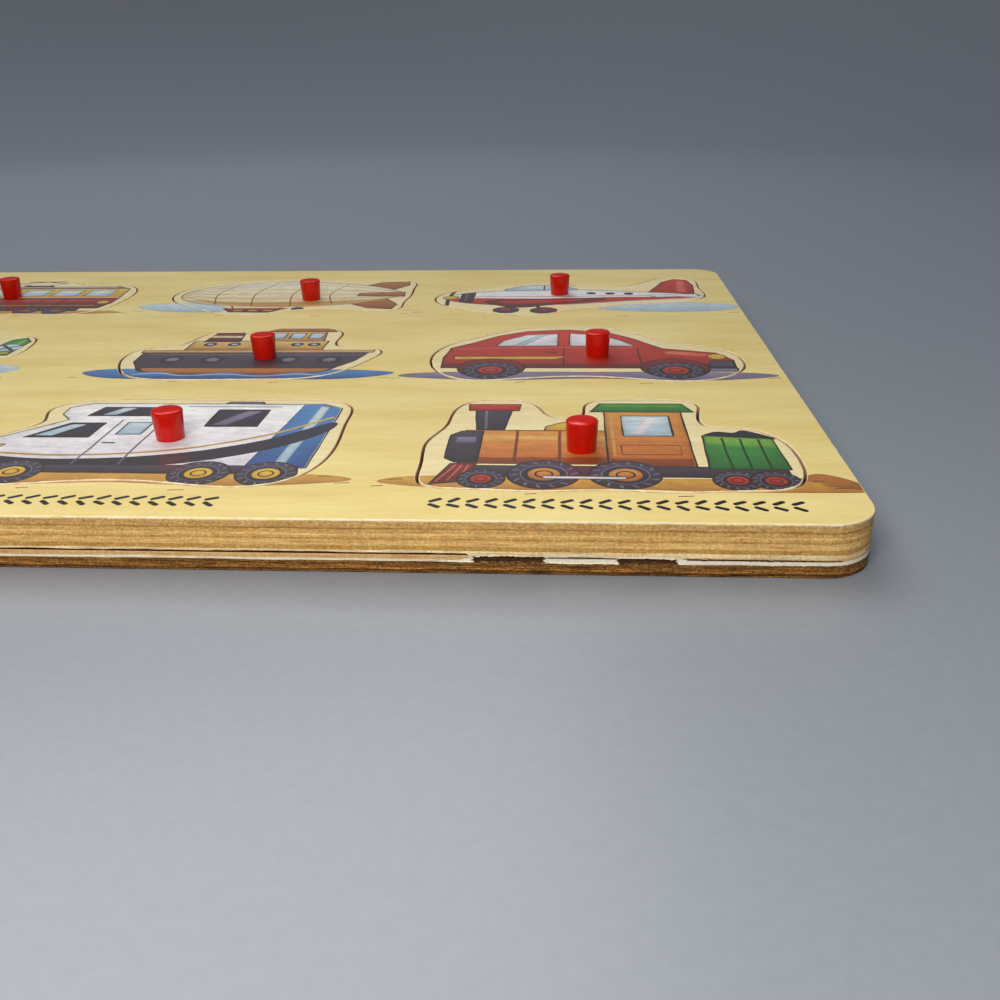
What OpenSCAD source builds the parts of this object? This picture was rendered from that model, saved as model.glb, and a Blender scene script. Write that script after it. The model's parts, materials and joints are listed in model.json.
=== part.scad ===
// Wooden peg puzzle: nine vehicle pieces sawn out of a plywood frame board, a plywood backing board
// glued under it as the floor of the recesses, and one moulded peg glued into every piece.
// Millimetres. +X runs left to right, +Y front to back, +Z up; the origin is under the middle of the boards.

/* [Boards] */
// Length of both boards, left to right
board_l = 400; // [385:1:460]
// Depth of both boards, front to back
board_d = 298; // [285:1:340]
// Radius of the boards' four corners in plan
corner_r = 12.5; // [8:0.5:22]
// Thickness of the frame board and so of the pieces sawn out of it
frame_t = 9.2; // [7.4:0.2:15]
// Thickness of the backing board
backing_t = 5; // [3:0.2:9]
// Easing of the frame board's upper edge
frame_ease = 0.7; // [0.4:0.1:2]
// Easing of the edges that meet in the glue joint and of the lower edge
joint_ease = 0.4; // [0.2:0.1:0.8]

/* [Saw cut] */
// Clearance left by the saw blade between a piece and its recess
kerf = 0.9; // [0.6:0.1:2]
// Straight steps between two control points of a sawn outline
curve_steps = 6; // [4:1:8]

/* [Layout] */
// Plain strip in front of the front row
front_strip = 18; // [14:1:24]
// Plain strip behind the back row
back_strip = 21; // [14:1:26]
// Plain strip between the end of a row and the board's side
side_strip = 12; // [8:1:16]
// Least wood left between two recesses
least_web = 4; // [2:0.5:8]

/* [Front row] */
// Length of the pickup truck
pickup_l = 116; // [90:1:124]
// Height of the pickup truck
pickup_h = 62; // [45:1:76]
// Length of the camper van
camper_l = 107; // [85:1:116]
// Height of the camper van
camper_h = 70; // [50:1:78]
// Length of the locomotive
locomotive_l = 101; // [85:1:112]
// Height of the locomotive
locomotive_h = 72; // [55:1:78]

/* [Middle row] */
// Length of the helicopter
helicopter_l = 108; // [85:1:118]
// Height of the helicopter
helicopter_h = 74; // [55:1:80]
// Length of the tugboat
tugboat_l = 94; // [80:1:106]
// Height of the tugboat
tugboat_h = 72; // [55:1:78]
// Length of the motor car
motorcar_l = 110; // [85:1:120]
// Height of the motor car
motorcar_h = 72; // [55:1:78]

/* [Back row] */
// Length of the tramcar
tramcar_l = 112; // [90:1:120]
// Height of the tramcar
tramcar_h = 70; // [50:1:78]
// Length of the airship
airship_l = 110; // [85:1:118]
// Height of the airship
airship_h = 72; // [55:1:78]
// Length of the aeroplane
aeroplane_l = 120; // [90:1:128]
// Height of the aeroplane
aeroplane_h = 74; // [55:1:80]

/* [Pegs] */
// Diameter of a peg at its top
peg_top_d = 9; // [7:0.2:12]
// Diameter of a peg where it stands on the piece
peg_foot_d = 8; // [6.6:0.2:11]
// Height of a peg above the piece
peg_h = 9; // [6:0.5:14]
// Rounding of a peg's top edge
peg_round = 0.9; // [0.4:0.1:1.6]
// Rise of a peg's slightly domed top
peg_crown = 0.3; // [0.1:0.1:0.8]
// Diameter of the stem glued into the piece
stem_d = 5; // [3.5:0.1:6]
// Length of the stem
stem_l = 5.8; // [4:0.2:6.2]
// Chamfer on the stem's tip
stem_tip = 0.6; // [0.2:0.1:1]
// Clearance round the stem
stem_gap = 0.05; // [0.03:0.01:0.15]
// Glue space left under the stem
glue_gap = 0.4; // [0.2:0.1:0.8]

/* [Hidden] */
$fn = 96;
print_wood = [0.91, 0.84, 0.62];
ply_wood = [0.74, 0.58, 0.36];
peg_red = [0.78, 0.12, 0.08];
arc_steps = 6;
frame_z = backing_t;

// Sawn outlines as closed curves: control points as shares of a piece's length and height
pickup_outline_shares = [
    [0.02, 0.03], [0.13, -0.06], [0.29, 0.00], [0.50, 0.05], [0.68, 0.00], [0.84, -0.06], [0.98, 0.05],
    [1.04, 0.36], [1.02, 0.72], [0.86, 0.74], [0.72, 0.70], [0.68, 0.96], [0.53, 1.06], [0.37, 1.00],
    [0.29, 0.76], [0.17, 0.66], [0.03, 0.62], [-0.04, 0.32]
];
camper_outline_shares = [
    [0.01, 0.06], [0.14, -0.05], [0.30, 0.00], [0.50, 0.05], [0.68, 0.00], [0.84, -0.05], [0.99, 0.06],
    [1.03, 0.38], [1.00, 0.72], [1.02, 0.98], [0.84, 1.04], [0.60, 1.00], [0.34, 1.03], [0.13, 1.02],
    [0.05, 0.86], [0.13, 0.70], [0.05, 0.56], [-0.03, 0.44], [-0.03, 0.24]
];
locomotive_outline_shares = [
    [-0.02, -0.02], [0.14, -0.01], [0.32, -0.05], [0.50, 0.00], [0.66, -0.05], [0.84, -0.01], [1.01, -0.02],
    [1.04, 0.26], [1.02, 0.56], [0.91, 0.69], [0.79, 0.64], [0.79, 0.86], [0.83, 1.03], [0.63, 1.05],
    [0.43, 1.03], [0.47, 0.82], [0.38, 0.74], [0.31, 0.84], [0.29, 1.04], [0.07, 1.05], [0.03, 0.84],
    [0.04, 0.66], [-0.03, 0.48], [0.00, 0.22]
];
helicopter_outline_shares = [
    [0.05, 0.05], [0.20, -0.04], [0.38, -0.03], [0.54, 0.02], [0.62, 0.20], [0.74, 0.32], [0.90, 0.30],
    [1.03, 0.36], [1.02, 0.58], [0.99, 0.80], [0.88, 0.82], [0.82, 0.62], [0.68, 0.60], [0.58, 0.66],
    [0.60, 0.77], [0.72, 0.82], [0.78, 0.94], [0.70, 1.04], [0.54, 1.02], [0.34, 0.98], [0.12, 1.03],
    [-0.01, 0.98], [0.00, 0.82], [0.16, 0.74], [0.04, 0.56], [-0.03, 0.34]
];
tugboat_outline_shares = [
    [0.08, 0.00], [0.30, -0.03], [0.54, 0.00], [0.78, -0.01], [0.92, 0.10], [0.99, 0.30], [1.07, 0.52],
    [0.96, 0.60], [0.82, 0.57], [0.80, 0.74], [0.83, 0.95], [0.63, 1.06], [0.47, 1.00], [0.44, 0.86],
    [0.37, 0.86], [0.32, 0.95], [0.20, 0.94], [0.16, 0.72], [0.13, 0.57], [-0.03, 0.57], [-0.06, 0.38],
    [0.00, 0.16]
];
motorcar_outline_shares = [
    [0.01, 0.08], [0.12, -0.06], [0.28, 0.00], [0.48, 0.06], [0.66, 0.00], [0.84, -0.07], [0.99, 0.06],
    [1.04, 0.28], [0.99, 0.54], [0.86, 0.62], [0.74, 0.74], [0.64, 0.98], [0.45, 1.05], [0.25, 1.00],
    [0.14, 0.80], [0.02, 0.66], [-0.04, 0.38]
];
tramcar_outline_shares = [
    [0.01, 0.04], [0.18, -0.04], [0.36, 0.02], [0.52, -0.02], [0.70, 0.02], [0.86, -0.04], [0.99, 0.05],
    [1.03, 0.34], [1.02, 0.70], [0.94, 0.90], [0.78, 0.84], [0.69, 0.92], [0.58, 1.05], [0.42, 1.05],
    [0.31, 0.92], [0.22, 0.84], [0.06, 0.90], [-0.02, 0.70], [-0.03, 0.34]
];
airship_outline_shares = [
    [0.16, 0.14], [0.28, -0.04], [0.46, -0.05], [0.56, 0.10], [0.72, 0.14], [0.88, 0.04], [1.02, 0.08],
    [0.99, 0.28], [1.02, 0.50], [1.00, 0.72], [1.02, 0.94], [0.88, 0.98], [0.74, 0.92], [0.56, 1.02],
    [0.34, 1.03], [0.13, 0.92], [-0.01, 0.70], [-0.03, 0.46], [0.05, 0.26]
];
aeroplane_outline_shares = [
    [0.04, 0.16], [0.16, 0.06], [0.27, -0.04], [0.42, -0.03], [0.50, 0.12], [0.64, 0.16], [0.78, 0.28],
    [0.95, 0.30], [1.03, 0.46], [0.99, 0.70], [1.02, 0.96], [0.92, 1.05], [0.82, 0.94], [0.74, 0.72],
    [0.58, 0.70], [0.46, 0.84], [0.30, 0.86], [0.20, 0.70], [0.05, 0.64], [-0.04, 0.42]
];

// Rows from front to back, pieces from left to right: name, outline, length, height
rows = [
    [
        ["pickup", pickup_outline_shares, pickup_l, pickup_h],
        ["camper", camper_outline_shares, camper_l, camper_h],
        ["locomotive", locomotive_outline_shares, locomotive_l, locomotive_h]
    ],
    [
        ["helicopter", helicopter_outline_shares, helicopter_l, helicopter_h],
        ["tugboat", tugboat_outline_shares, tugboat_l, tugboat_h],
        ["motorcar", motorcar_outline_shares, motorcar_l, motorcar_h]
    ],
    [
        ["tramcar", tramcar_outline_shares, tramcar_l, tramcar_h],
        ["airship", airship_outline_shares, airship_l, airship_h],
        ["aeroplane", aeroplane_outline_shares, aeroplane_l, aeroplane_h]
    ]
];
// Place of each peg as shares of its piece's length and height
peg_shares = [
    [[0.50, 0.48], [0.54, 0.50], [0.43, 0.40]],
    [[0.34, 0.46], [0.56, 0.38], [0.54, 0.43]],
    [[0.50, 0.49], [0.60, 0.40], [0.46, 0.53]]
];
// Share of a row's free length that lies to the left of its middle piece
web_left_shares = [0.50, 0.68, 0.62];
row_count = len(rows);
column_count = len(rows[0]);

// Fit: pieces keep their own sizes and shrink alike only if the board can't hold them with the least webs
function sum(v, i = 0) = i == len(v) ? 0 : v[i] + sum(v, i + 1);
function drawn_l(r) = sum([for (p = rows[r]) p[2]]);
function drawn_h(r) = max([for (p = rows[r]) p[3]]);
least_gap = least_web + 2 * kerf;
room_l = board_l - 2 * side_strip - (column_count - 1) * least_gap;
room_d = board_d - front_strip - back_strip - (row_count - 1) * least_gap;
row_fits = [for (r = [0 : row_count - 1]) room_l / drawn_l(r)];
depth_fit = room_d / sum([for (r = [0 : row_count - 1]) drawn_h(r)]);
fit = min(1, depth_fit, min(row_fits));

// Layout: what the pieces leave of the board is shared out between them
function piece_name(r, c) = rows[r][c][0];
function piece_l(r, c) = rows[r][c][2] * fit;
function piece_h(r, c) = rows[r][c][3] * fit;
function row_h(r) = drawn_h(r) * fit;
function free_l(r) = board_l - 2 * side_strip - drawn_l(r) * fit;
function free_d() = board_d - front_strip - back_strip - sum([for (r = [0 : row_count - 1]) row_h(r)]);
function web_share(r, c) = c == 1 ? web_left_shares[r] : 1 - web_left_shares[r];
function piece_x(r, c) = c == 0 ? side_strip - board_l / 2
    : piece_x(r, c - 1) + piece_l(r, c - 1) + free_l(r) * web_share(r, c);
function row_y(r) = r == 0 ? front_strip - board_d / 2
    : row_y(r - 1) + row_h(r - 1) + free_d() / (row_count - 1);
function piece_at(r, c) = [piece_x(r, c), row_y(r) + (row_h(r) - piece_h(r, c)) / 2, frame_z];
function peg_at(r, c) = piece_at(r, c)
    + [piece_l(r, c) * peg_shares[r][c][0], piece_h(r, c) * peg_shares[r][c][1], frame_t];

// Closed cubic curve through the field of its control points
function blend(a, b, c, d, t) = (a * pow(1 - t, 3) + b * (3 * pow(t, 3) - 6 * pow(t, 2) + 4)
    + c * (3 * t + 3 * pow(t, 2) - 3 * pow(t, 3) + 1) + d * pow(t, 3)) / 6;
function curve(p) = let (n = len(p))
    [for (i = [0 : n - 1], k = [0 : curve_steps - 1])
        blend(p[i], p[(i + 1) % n], p[(i + 2) % n], p[(i + 3) % n], k / curve_steps)];

// The curve stretched to a length and a height
function fitted(p, l, h) = let (
        x = [for (q = p) q[0]],
        y = [for (q = p) q[1]],
        wide = max(x) - min(x),
        tall = max(y) - min(y)
    ) [for (q = p) [(q[0] - min(x)) * l / wide, (q[1] - min(y)) * h / tall]];

// A counter-clockwise outline moved outwards by a distance
function grown(p, by) = let (n = len(p))
    [for (i = [0 : n - 1]) let (d = p[(i + 1) % n] - p[(i + n - 1) % n]) p[i] + [d[1], -d[0]] * by / norm(d)];

function piece_outline(r, c) = fitted(curve(rows[r][c][1]), piece_l(r, c), piece_h(r, c));

// Quarter round from angle a to a + 90 about a centre
function quarter(centre, radius, a) =
    [for (k = [0 : arc_steps]) centre + radius * [cos(a + 90 * k / arc_steps), sin(a + 90 * k / arc_steps)]];

// Half the cross-section of a plate: inner side at x = 0, eased lower and upper edge at x = half
function plate_section(half, t, low, high) = concat(
    [[0, 0]],
    quarter([half - low, low], low, -90),
    quarter([half - high, t - high], high, 0),
    [[0, t]]
);

module full_section(half, t, low, high) {
    polygon(plate_section(half, t, low, high));
    mirror([1, 0]) polygon(plate_section(half, t, low, high));
}

// Plate with rounded corners in plan and eased edges
module eased_plate(t, low, high) {
    rotate([90, 0, 90])
        linear_extrude(board_l - 2 * corner_r, center = true)
            full_section(board_d / 2, t, low, high);
    rotate([90, 0, 0])
        linear_extrude(board_d - 2 * corner_r, center = true)
            full_section(board_l / 2, t, low, high);
    for (sx = [-1, 1], sy = [-1, 1])
        translate([sx * (board_l / 2 - corner_r), sy * (board_d / 2 - corner_r), 0])
            rotate_extrude()
                polygon(plate_section(corner_r, t, low, high));
}

module backing_board() {
    color(ply_wood)
        eased_plate(backing_t, joint_ease, joint_ease);
}

module frame_board() {
    color(print_wood)
        difference() {
            translate([0, 0, frame_z])
                eased_plate(frame_t, joint_ease, frame_ease);
            for (r = [0 : row_count - 1], c = [0 : column_count - 1])
                translate(piece_at(r, c) - [0, 0, frame_t])
                    linear_extrude(3 * frame_t)
                        polygon(grown(piece_outline(r, c), kerf));
        }
}

module sawn_piece(r, c) {
    hole_depth = stem_l + glue_gap;
    color(print_wood)
        difference() {
            translate(piece_at(r, c))
                linear_extrude(frame_t)
                    polygon(piece_outline(r, c));
            translate(peg_at(r, c) - [0, 0, hole_depth])
                cylinder(h = 2 * hole_depth, d = stem_d + 2 * stem_gap);
        }
}

module moulded_peg(r, c) {
    rim = quarter([peg_top_d / 2 - peg_round, peg_h - peg_crown - peg_round], peg_round, 0);
    color(peg_red)
        translate(peg_at(r, c))
            rotate_extrude()
                polygon(concat(
                    [[0, -stem_l], [stem_d / 2 - stem_tip, -stem_l], [stem_d / 2, stem_tip - stem_l]],
                    [[stem_d / 2, 0], [peg_foot_d / 2, 0]],
                    rim,
                    [[0, peg_h]]
                ));
}

frame_board();
backing_board();
for (r = [0 : row_count - 1], c = [0 : column_count - 1]) {
    sawn_piece(r, c);
    moulded_peg(r, c);
}
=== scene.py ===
"""Peg puzzle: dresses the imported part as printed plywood, sawn pieces and moulded pegs.

Lengths inside the shape code are in millimetres on the board's own frame; MM turns them to metres.
"""

import json
import math

import bpy
import bmesh
import numpy as np
from mathutils import Euler, Matrix, Vector, noise
from mathutils.geometry import delaunay_2d_cdt

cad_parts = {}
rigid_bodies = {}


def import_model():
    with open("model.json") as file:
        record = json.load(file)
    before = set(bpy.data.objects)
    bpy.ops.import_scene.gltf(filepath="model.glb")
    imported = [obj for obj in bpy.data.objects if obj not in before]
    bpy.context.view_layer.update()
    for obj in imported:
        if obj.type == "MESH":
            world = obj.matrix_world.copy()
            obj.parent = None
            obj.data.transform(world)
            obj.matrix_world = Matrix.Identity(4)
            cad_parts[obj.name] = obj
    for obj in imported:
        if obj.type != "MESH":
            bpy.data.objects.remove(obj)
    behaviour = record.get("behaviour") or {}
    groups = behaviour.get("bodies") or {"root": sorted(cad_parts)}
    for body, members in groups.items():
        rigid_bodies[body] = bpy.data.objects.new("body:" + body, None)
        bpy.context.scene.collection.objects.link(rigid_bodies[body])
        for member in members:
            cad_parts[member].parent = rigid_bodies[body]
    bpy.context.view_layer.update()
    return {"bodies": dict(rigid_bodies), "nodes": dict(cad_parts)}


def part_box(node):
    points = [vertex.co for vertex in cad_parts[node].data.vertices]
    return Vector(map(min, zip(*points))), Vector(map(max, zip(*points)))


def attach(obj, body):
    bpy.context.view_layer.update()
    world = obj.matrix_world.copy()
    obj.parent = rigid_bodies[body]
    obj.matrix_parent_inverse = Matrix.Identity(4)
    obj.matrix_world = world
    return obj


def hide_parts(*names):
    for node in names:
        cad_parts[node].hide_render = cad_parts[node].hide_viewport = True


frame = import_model()

bl_info = {
    "name": "Peg puzzle",
    "version": (1, 0, 0),
    "blender": (4, 5, 0),
    "location": "View3D > Sidebar > Peg puzzle",
    "description": "Printed plywood board, sawn vehicle pieces and moulded pegs",
    "category": "Object",
}

MM = 0.001
# Places nearer than this in metres are the same
SAME = 1e-6
BOARD = "board"
VEHICLES = [body for body in frame["bodies"] if body != BOARD]

BOARD_LOW, BOARD_HIGH = (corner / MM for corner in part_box("frame_board"))
TOP, JOINT = BOARD_HIGH.z, BOARD_LOW.z
# The corners' radius, from where the CAD board's straight right side ends
CORNER_R = BOARD_HIGH.y - max(v.co.y for v in frame["nodes"]["frame_board"].data.vertices
                              if abs(v.co.x - BOARD_HIGH.x * MM) < SAME) / MM

# No ink
BARE = (0.0, 0.0, 0.0, 0.0)
# A piece's finishes, by their place in its list of materials
PRINT, EDGE, ARRIS, PLAIN, CUT = range(5)
# How finely curves are split: steps round an arris, round a board corner and between two points of a CAD
# outline, and the length in mm of a step along the frame board's sides
ARRIS_STEPS, CORNER_STEPS, OUTLINE_STEPS = 3, 36, 3
SIDE_STEP = 0.9
# Angles past which an edge is shaded sharp: on the boards and sawn pieces, and on what the node trees make
SHARP_SAWN, SHARP_GROWN = math.radians(50), math.radians(38)
# Points nearer than the first in mm are one; the second stands in for a length of nothing
WELD, TINY = 1e-4, 1e-9
# Least divisor of a corner's move as its loop grows; it keeps sharp corners from running out
SHARPEST = 0.5


def linear(code, cover=1.0):
    """A colour's sRGB hex code as linear red, green and blue, with how far it covers what is under it."""
    shares = [int(code[i:i + 2], 16) / 255 for i in (1, 3, 5)]
    return (*(c / 12.92 if c <= 0.04045 else ((c + 0.055) / 1.055) ** 2.4 for c in shares), cover)


# Printing inks, each with its shade at the top and at the foot of a mark
INKS = {
    "ink": ("#1E1218", "#1E1218"),
    "orange": ("#E39A45", "#B9602A"),
    "amber": ("#F2BE6B", "#EBA850"),
    "rust": ("#9C4A22", "#7E3519"),
    "green": ("#3F9A46", "#1F6B33"),
    "leaf": ("#8CC152", "#5FA23C"),
    "pine": ("#17482A", "#123A23"),
    "slate": ("#463C55", "#231B2E"),
    "lilac": ("#8F86A3", "#6D6485"),
    "red": ("#D8392F", "#9C1A1E"),
    "rose": ("#EE7A62", "#E0574A"),
    "maroon": ("#86202B", "#520F19"),
    "gold": ("#F2CE4E", "#D69B2C"),
    "tan": ("#EBC27A", "#C48F48"),
    "cream": ("#FBF1D2", "#E6CF97"),
    "pale": ("#FFFFFF", "#E0DBE6"),
    "blue": ("#4F8FCF", "#234F94"),
    "navy": ("#29264A", "#141129"),
    "sky": ("#DCEBF2", "#A9C6DC"),
    "ochre": ("#DDA94B", "#B87A30"),
    "clay": ("#C67F3C", "#8E4F22"),
}
INKS = {name: tuple(linear(code) for code in pair) for name, pair in INKS.items()}
# Thin white laid under each vehicle's picture
HALO = linear("#FFF6DC", 0.36)
# How much darker a wash of ink dries at its rim, how far in mm that reaches, and how many reaches wide a mark
# has to be to get a guide
RIM_DARK, RIM_REACH, RIM_ROOM = 0.3, 1.1, 3


def counterclockwise(points):
    """The loop in counterclockwise order."""
    twice = sum(a[0] * b[1] - b[0] * a[1] for a, b in zip(points, points[1:] + points[:1]))
    return points if twice > 0 else points[::-1]


def grown(points, by):
    """A counterclockwise loop moved outwards along its corners' bisectors, by one length or one for each
    point."""
    made = []
    for i, ((x, y), out) in enumerate(zip(points, np.broadcast_to(by, len(points)))):
        (ax, ay), (cx, cy) = points[i - 1], points[(i + 1) % len(points)]
        before, after = math.hypot(x - ax, y - ay) or TINY, math.hypot(cx - x, cy - y) or TINY
        n1, n2 = ((y - ay) / before, (ax - x) / before), ((cy - y) / after, (x - cx) / after)
        k = max(1 + n1[0] * n2[0] + n1[1] * n2[1], SHARPEST)
        made.append((x + out * (n1[0] + n2[0]) / k, y + out * (n1[1] + n2[1]) / k))
    return made


def catmull(a, b, c, d, t):
    """A point between b and c on the smooth curve through four points."""
    return tuple(0.5 * (2 * q + (r - p) * t + (2 * p - 5 * q + 4 * r - s) * t * t
                        + (3 * q - p - 3 * r + s) * t ** 3) for p, q, r, s in zip(a, b, c, d))


def rounded(points, steps=6):
    """A smooth closed curve through the points."""
    n = len(points)
    return [catmull(points[i - 1], points[i], points[(i + 1) % n], points[(i + 2) % n], k / steps)
            for i in range(n) for k in range(steps)]


def eased(points, steps=6):
    """A smooth open curve through the points."""
    ends = [points[0]] + list(points) + [points[-1]]
    return [catmull(*ends[i:i + 4], k / steps)
            for i in range(len(points) - 1) for k in range(steps)] + [points[-1]]


def ribbon(points, width):
    """The outline of a line drawn along the points with a pen of that width."""
    left, right = [], []
    for i, (x, y) in enumerate(points):
        (ax, ay), (bx, by) = points[max(i - 1, 0)], points[min(i + 1, len(points) - 1)]
        d = math.hypot(bx - ax, by - ay) or TINY
        nx, ny = (ay - by) / d * width / 2, (bx - ax) / d * width / 2
        left.append((x + nx, y + ny))
        right.append((x - nx, y - ny))
    return right + left[::-1]


# A hand-drawn mark, in mm: the step along its sides, how far they waver and over what reach, and how much of
# a corner is cut off where both its sides are CORNER_ROOM times as long
HAND_STEP, HAND_WAVER, HAND_REACH, HAND_CORNER = 2.5, 0.22, 9.0, 0.35
CORNER_ROOM = 3
# The hand's pass that lays a wash, its outline being pass 0, and what keeps x and y from wavering alike
WASH_PASS, AXIS_PASS = 2.5, 5.0
# Width in mm of the dark line round a mark, and the sides of a round one
LINE, DISC_SIDES = 0.5, 28
# A drawn tyre's tread: how many ticks, their inner and outer ends and their width as shares of the tyre's
# radius, and their lean in radians
TICKS, TICK_FROM, TICK_TO, TICK_WIDTH, TICK_LEAN = 14, 0.74, 0.93, 0.07, 0.12


def by_hand(points, hand_pass=0.0):
    """A mark with its corners softened and its sides wavering a little, as each pass of a hand does."""
    soft = []
    for i, p in enumerate(points):
        ends = points[i - 1], points[(i + 1) % len(points)]
        reach = [math.dist(p, end) for end in ends]
        if min(reach) < CORNER_ROOM * HAND_CORNER:
            soft.append(p)
            continue
        soft += [tuple(a + (b - a) * HAND_CORNER / far for a, b in zip(p, end))
                 for end, far in zip(ends, reach)]
    made = []
    for a, b in zip(soft, soft[1:] + soft[:1]):
        steps = max(1, math.ceil(math.dist(a, b) / HAND_STEP))
        made += [tuple(p + (q - p) * k / steps for p, q in zip(a, b)) for k in range(steps)]
    waver = [[HAND_WAVER * noise.noise((x / HAND_REACH, y / HAND_REACH, AXIS_PASS * axis + hand_pass))
              for axis in range(2)] for x, y in made]
    return [(x + dx, y + dy) for (x, y), (dx, dy) in zip(made, waver)]


class Print:
    """A printed picture: closed marks one over another, placed in percent of a piece's box. Its guides print
    nothing; they split the sheet inside a mark, so that its dark rim has corners to fade over."""

    def __init__(self, name):
        low, high = (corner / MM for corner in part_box(name + "_piece"))
        self.low = low.xy
        self.span = (high - low).xy
        self.marks = []
        self.guides = []

    def place(self, points):
        """Points in percent of the piece's box as places on the board."""
        return [(self.low.x + x * self.span.x / 100, self.low.y + y * self.span.y / 100)
                for x, y in points]

    def add(self, ink, points, line):
        """Adds a washed mark, with a dark line of that width round it where it has one."""
        points = counterclockwise(points)
        if line:
            self.marks.append((by_hand(grown(points, line / 2)), "ink"))
            points = grown(points, -line / 2)
        self.marks.append((by_hand(points, WASH_PASS), ink))
        if min(np.ptp(points, 0)) > RIM_ROOM * RIM_REACH:
            self.guides.append(by_hand(grown(points, -RIM_REACH), WASH_PASS))

    def area(self, ink, points, soft=False, line=LINE):
        """A filled shape with straight sides, or soft ones."""
        points = self.place(points)
        self.add(ink, rounded(points) if soft else points, line)

    def disc(self, ink, x, y, r, line=LINE):
        """A filled round, its radius in mm."""
        (cx, cy), = self.place([(x, y)])
        turn = [math.tau * k / DISC_SIDES for k in range(DISC_SIDES)]
        self.add(ink, [(cx + r * math.cos(a), cy + r * math.sin(a)) for a in turn], line)

    def stroke(self, ink, points, width, soft=False):
        """A pen line, its width in mm."""
        points = self.place(points)
        self.marks.append((by_hand(ribbon(eased(points) if soft else points, width)), ink))

    def wheel(self, x, y, r, hub):
        """A tyre with its tread ticks, a dark rim and a hub in its own ink."""
        self.disc("slate", x, y, r)
        (cx, cy), = self.place([(x, y)])
        for k in range(TICKS):
            turn = math.tau * k / TICKS
            ends = [(TICK_FROM * r, turn), (TICK_TO * r, turn + TICK_LEAN)]
            tick = [(cx + d * math.cos(a), cy + d * math.sin(a)) for d, a in ends]
            self.marks.append((ribbon(tick, TICK_WIDTH * r), "lilac"))
        for ink, share, line in (("lilac", 0.66, 0), ("navy", 0.62, 0), (hub, 0.47, 0.4),
                                 ("ink", 0.27, 0), (hub, 0.21, 0)):
            self.disc(ink, x, y, share * r, line)


def locomotive(d):
    """A steam locomotive in orange and dark grey, with its green tender."""
    d.area("slate", [(9, 13), (96, 13), (96, 23), (9, 23)])
    d.area("maroon", [(4, 5), (13, 8), (15, 25), (8, 25)])
    for k in range(3):
        d.stroke("rose", [(5.5 + 2.8 * k, 7.5 + k), (9.5 + 1.8 * k, 23.5)], 0.5)
    d.area("orange", [(10, 25), (52, 25), (52, 61), (10, 61)])
    d.area("amber", [(13, 49), (51.5, 49), (51.5, 55), (13, 55)], line=0)
    d.area("rust", [(13, 25.6), (51.5, 25.6), (51.5, 32), (13, 31)], line=0)
    d.area("slate", [(6, 30), (9, 26), (15, 26), (15, 60), (9, 60), (6, 55)])
    d.area("lilac", [(8, 47), (13.5, 47), (13.5, 53), (8, 53)], line=0)
    for x in (25, 37):
        d.stroke("rust", [(x, 26), (x, 60.5)], 0.9)
    d.area("slate", [(13, 61), (21, 61), (22.5, 86), (11.5, 86)])
    d.stroke("lilac", [(15.5, 62), (14.8, 85)], 0.8)
    d.area("red", [(9.5, 85), (24.5, 85), (25, 93.5), (9, 93.5)])
    d.area("gold", [(32.5, 61), (33, 66), (38, 71), (43, 66), (43.5, 61)])
    d.area("orange", [(50, 23), (73, 23), (73, 86), (50, 86)])
    d.area("rust", [(50.6, 23.5), (72.4, 23.5), (72.4, 31), (50.6, 31)], line=0)
    d.stroke("amber", [(52, 33), (52, 83)], 0.9)
    d.area("sky", [(55, 55), (69, 55), (69, 79), (55, 79)])
    d.area("pale", [(57, 57), (61, 57), (66, 77), (62, 77)], line=0)
    d.stroke("rust", [(54, 45), (70, 45), (70, 35), (54, 35), (54, 45)], 0.6)
    d.area("green", [(46, 84), (77, 84), (74, 95), (49, 95)])
    d.stroke("leaf", [(49.5, 92), (73.5, 92)], 0.9)
    d.area("navy", [(78, 54), (81, 60), (86, 59), (89, 62), (93, 58), (96, 52)], soft=True)
    d.area("green", [(76, 21), (97, 21), (96, 53), (77, 56)])
    d.area("leaf", [(77.3, 46), (96, 43), (95.6, 52), (77.5, 55)], line=0)
    for x in (82, 87, 92):
        d.stroke("pine", [(x, 22), (x, 53.5 - 0.15 * (x - 82))], 0.7)
    d.wheel(17, 10.5, 6.3, "red")
    d.wheel(33, 15, 9.6, "orange")
    d.wheel(54, 15, 9.6, "orange")
    d.wheel(82, 10.5, 6.3, "red")
    d.wheel(91.5, 10.5, 6.3, "red")
    d.stroke("ink", [(33, 12), (54, 12)], 2.2)
    d.stroke("pale", [(33, 12), (54, 12)], 1.3)


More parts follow.
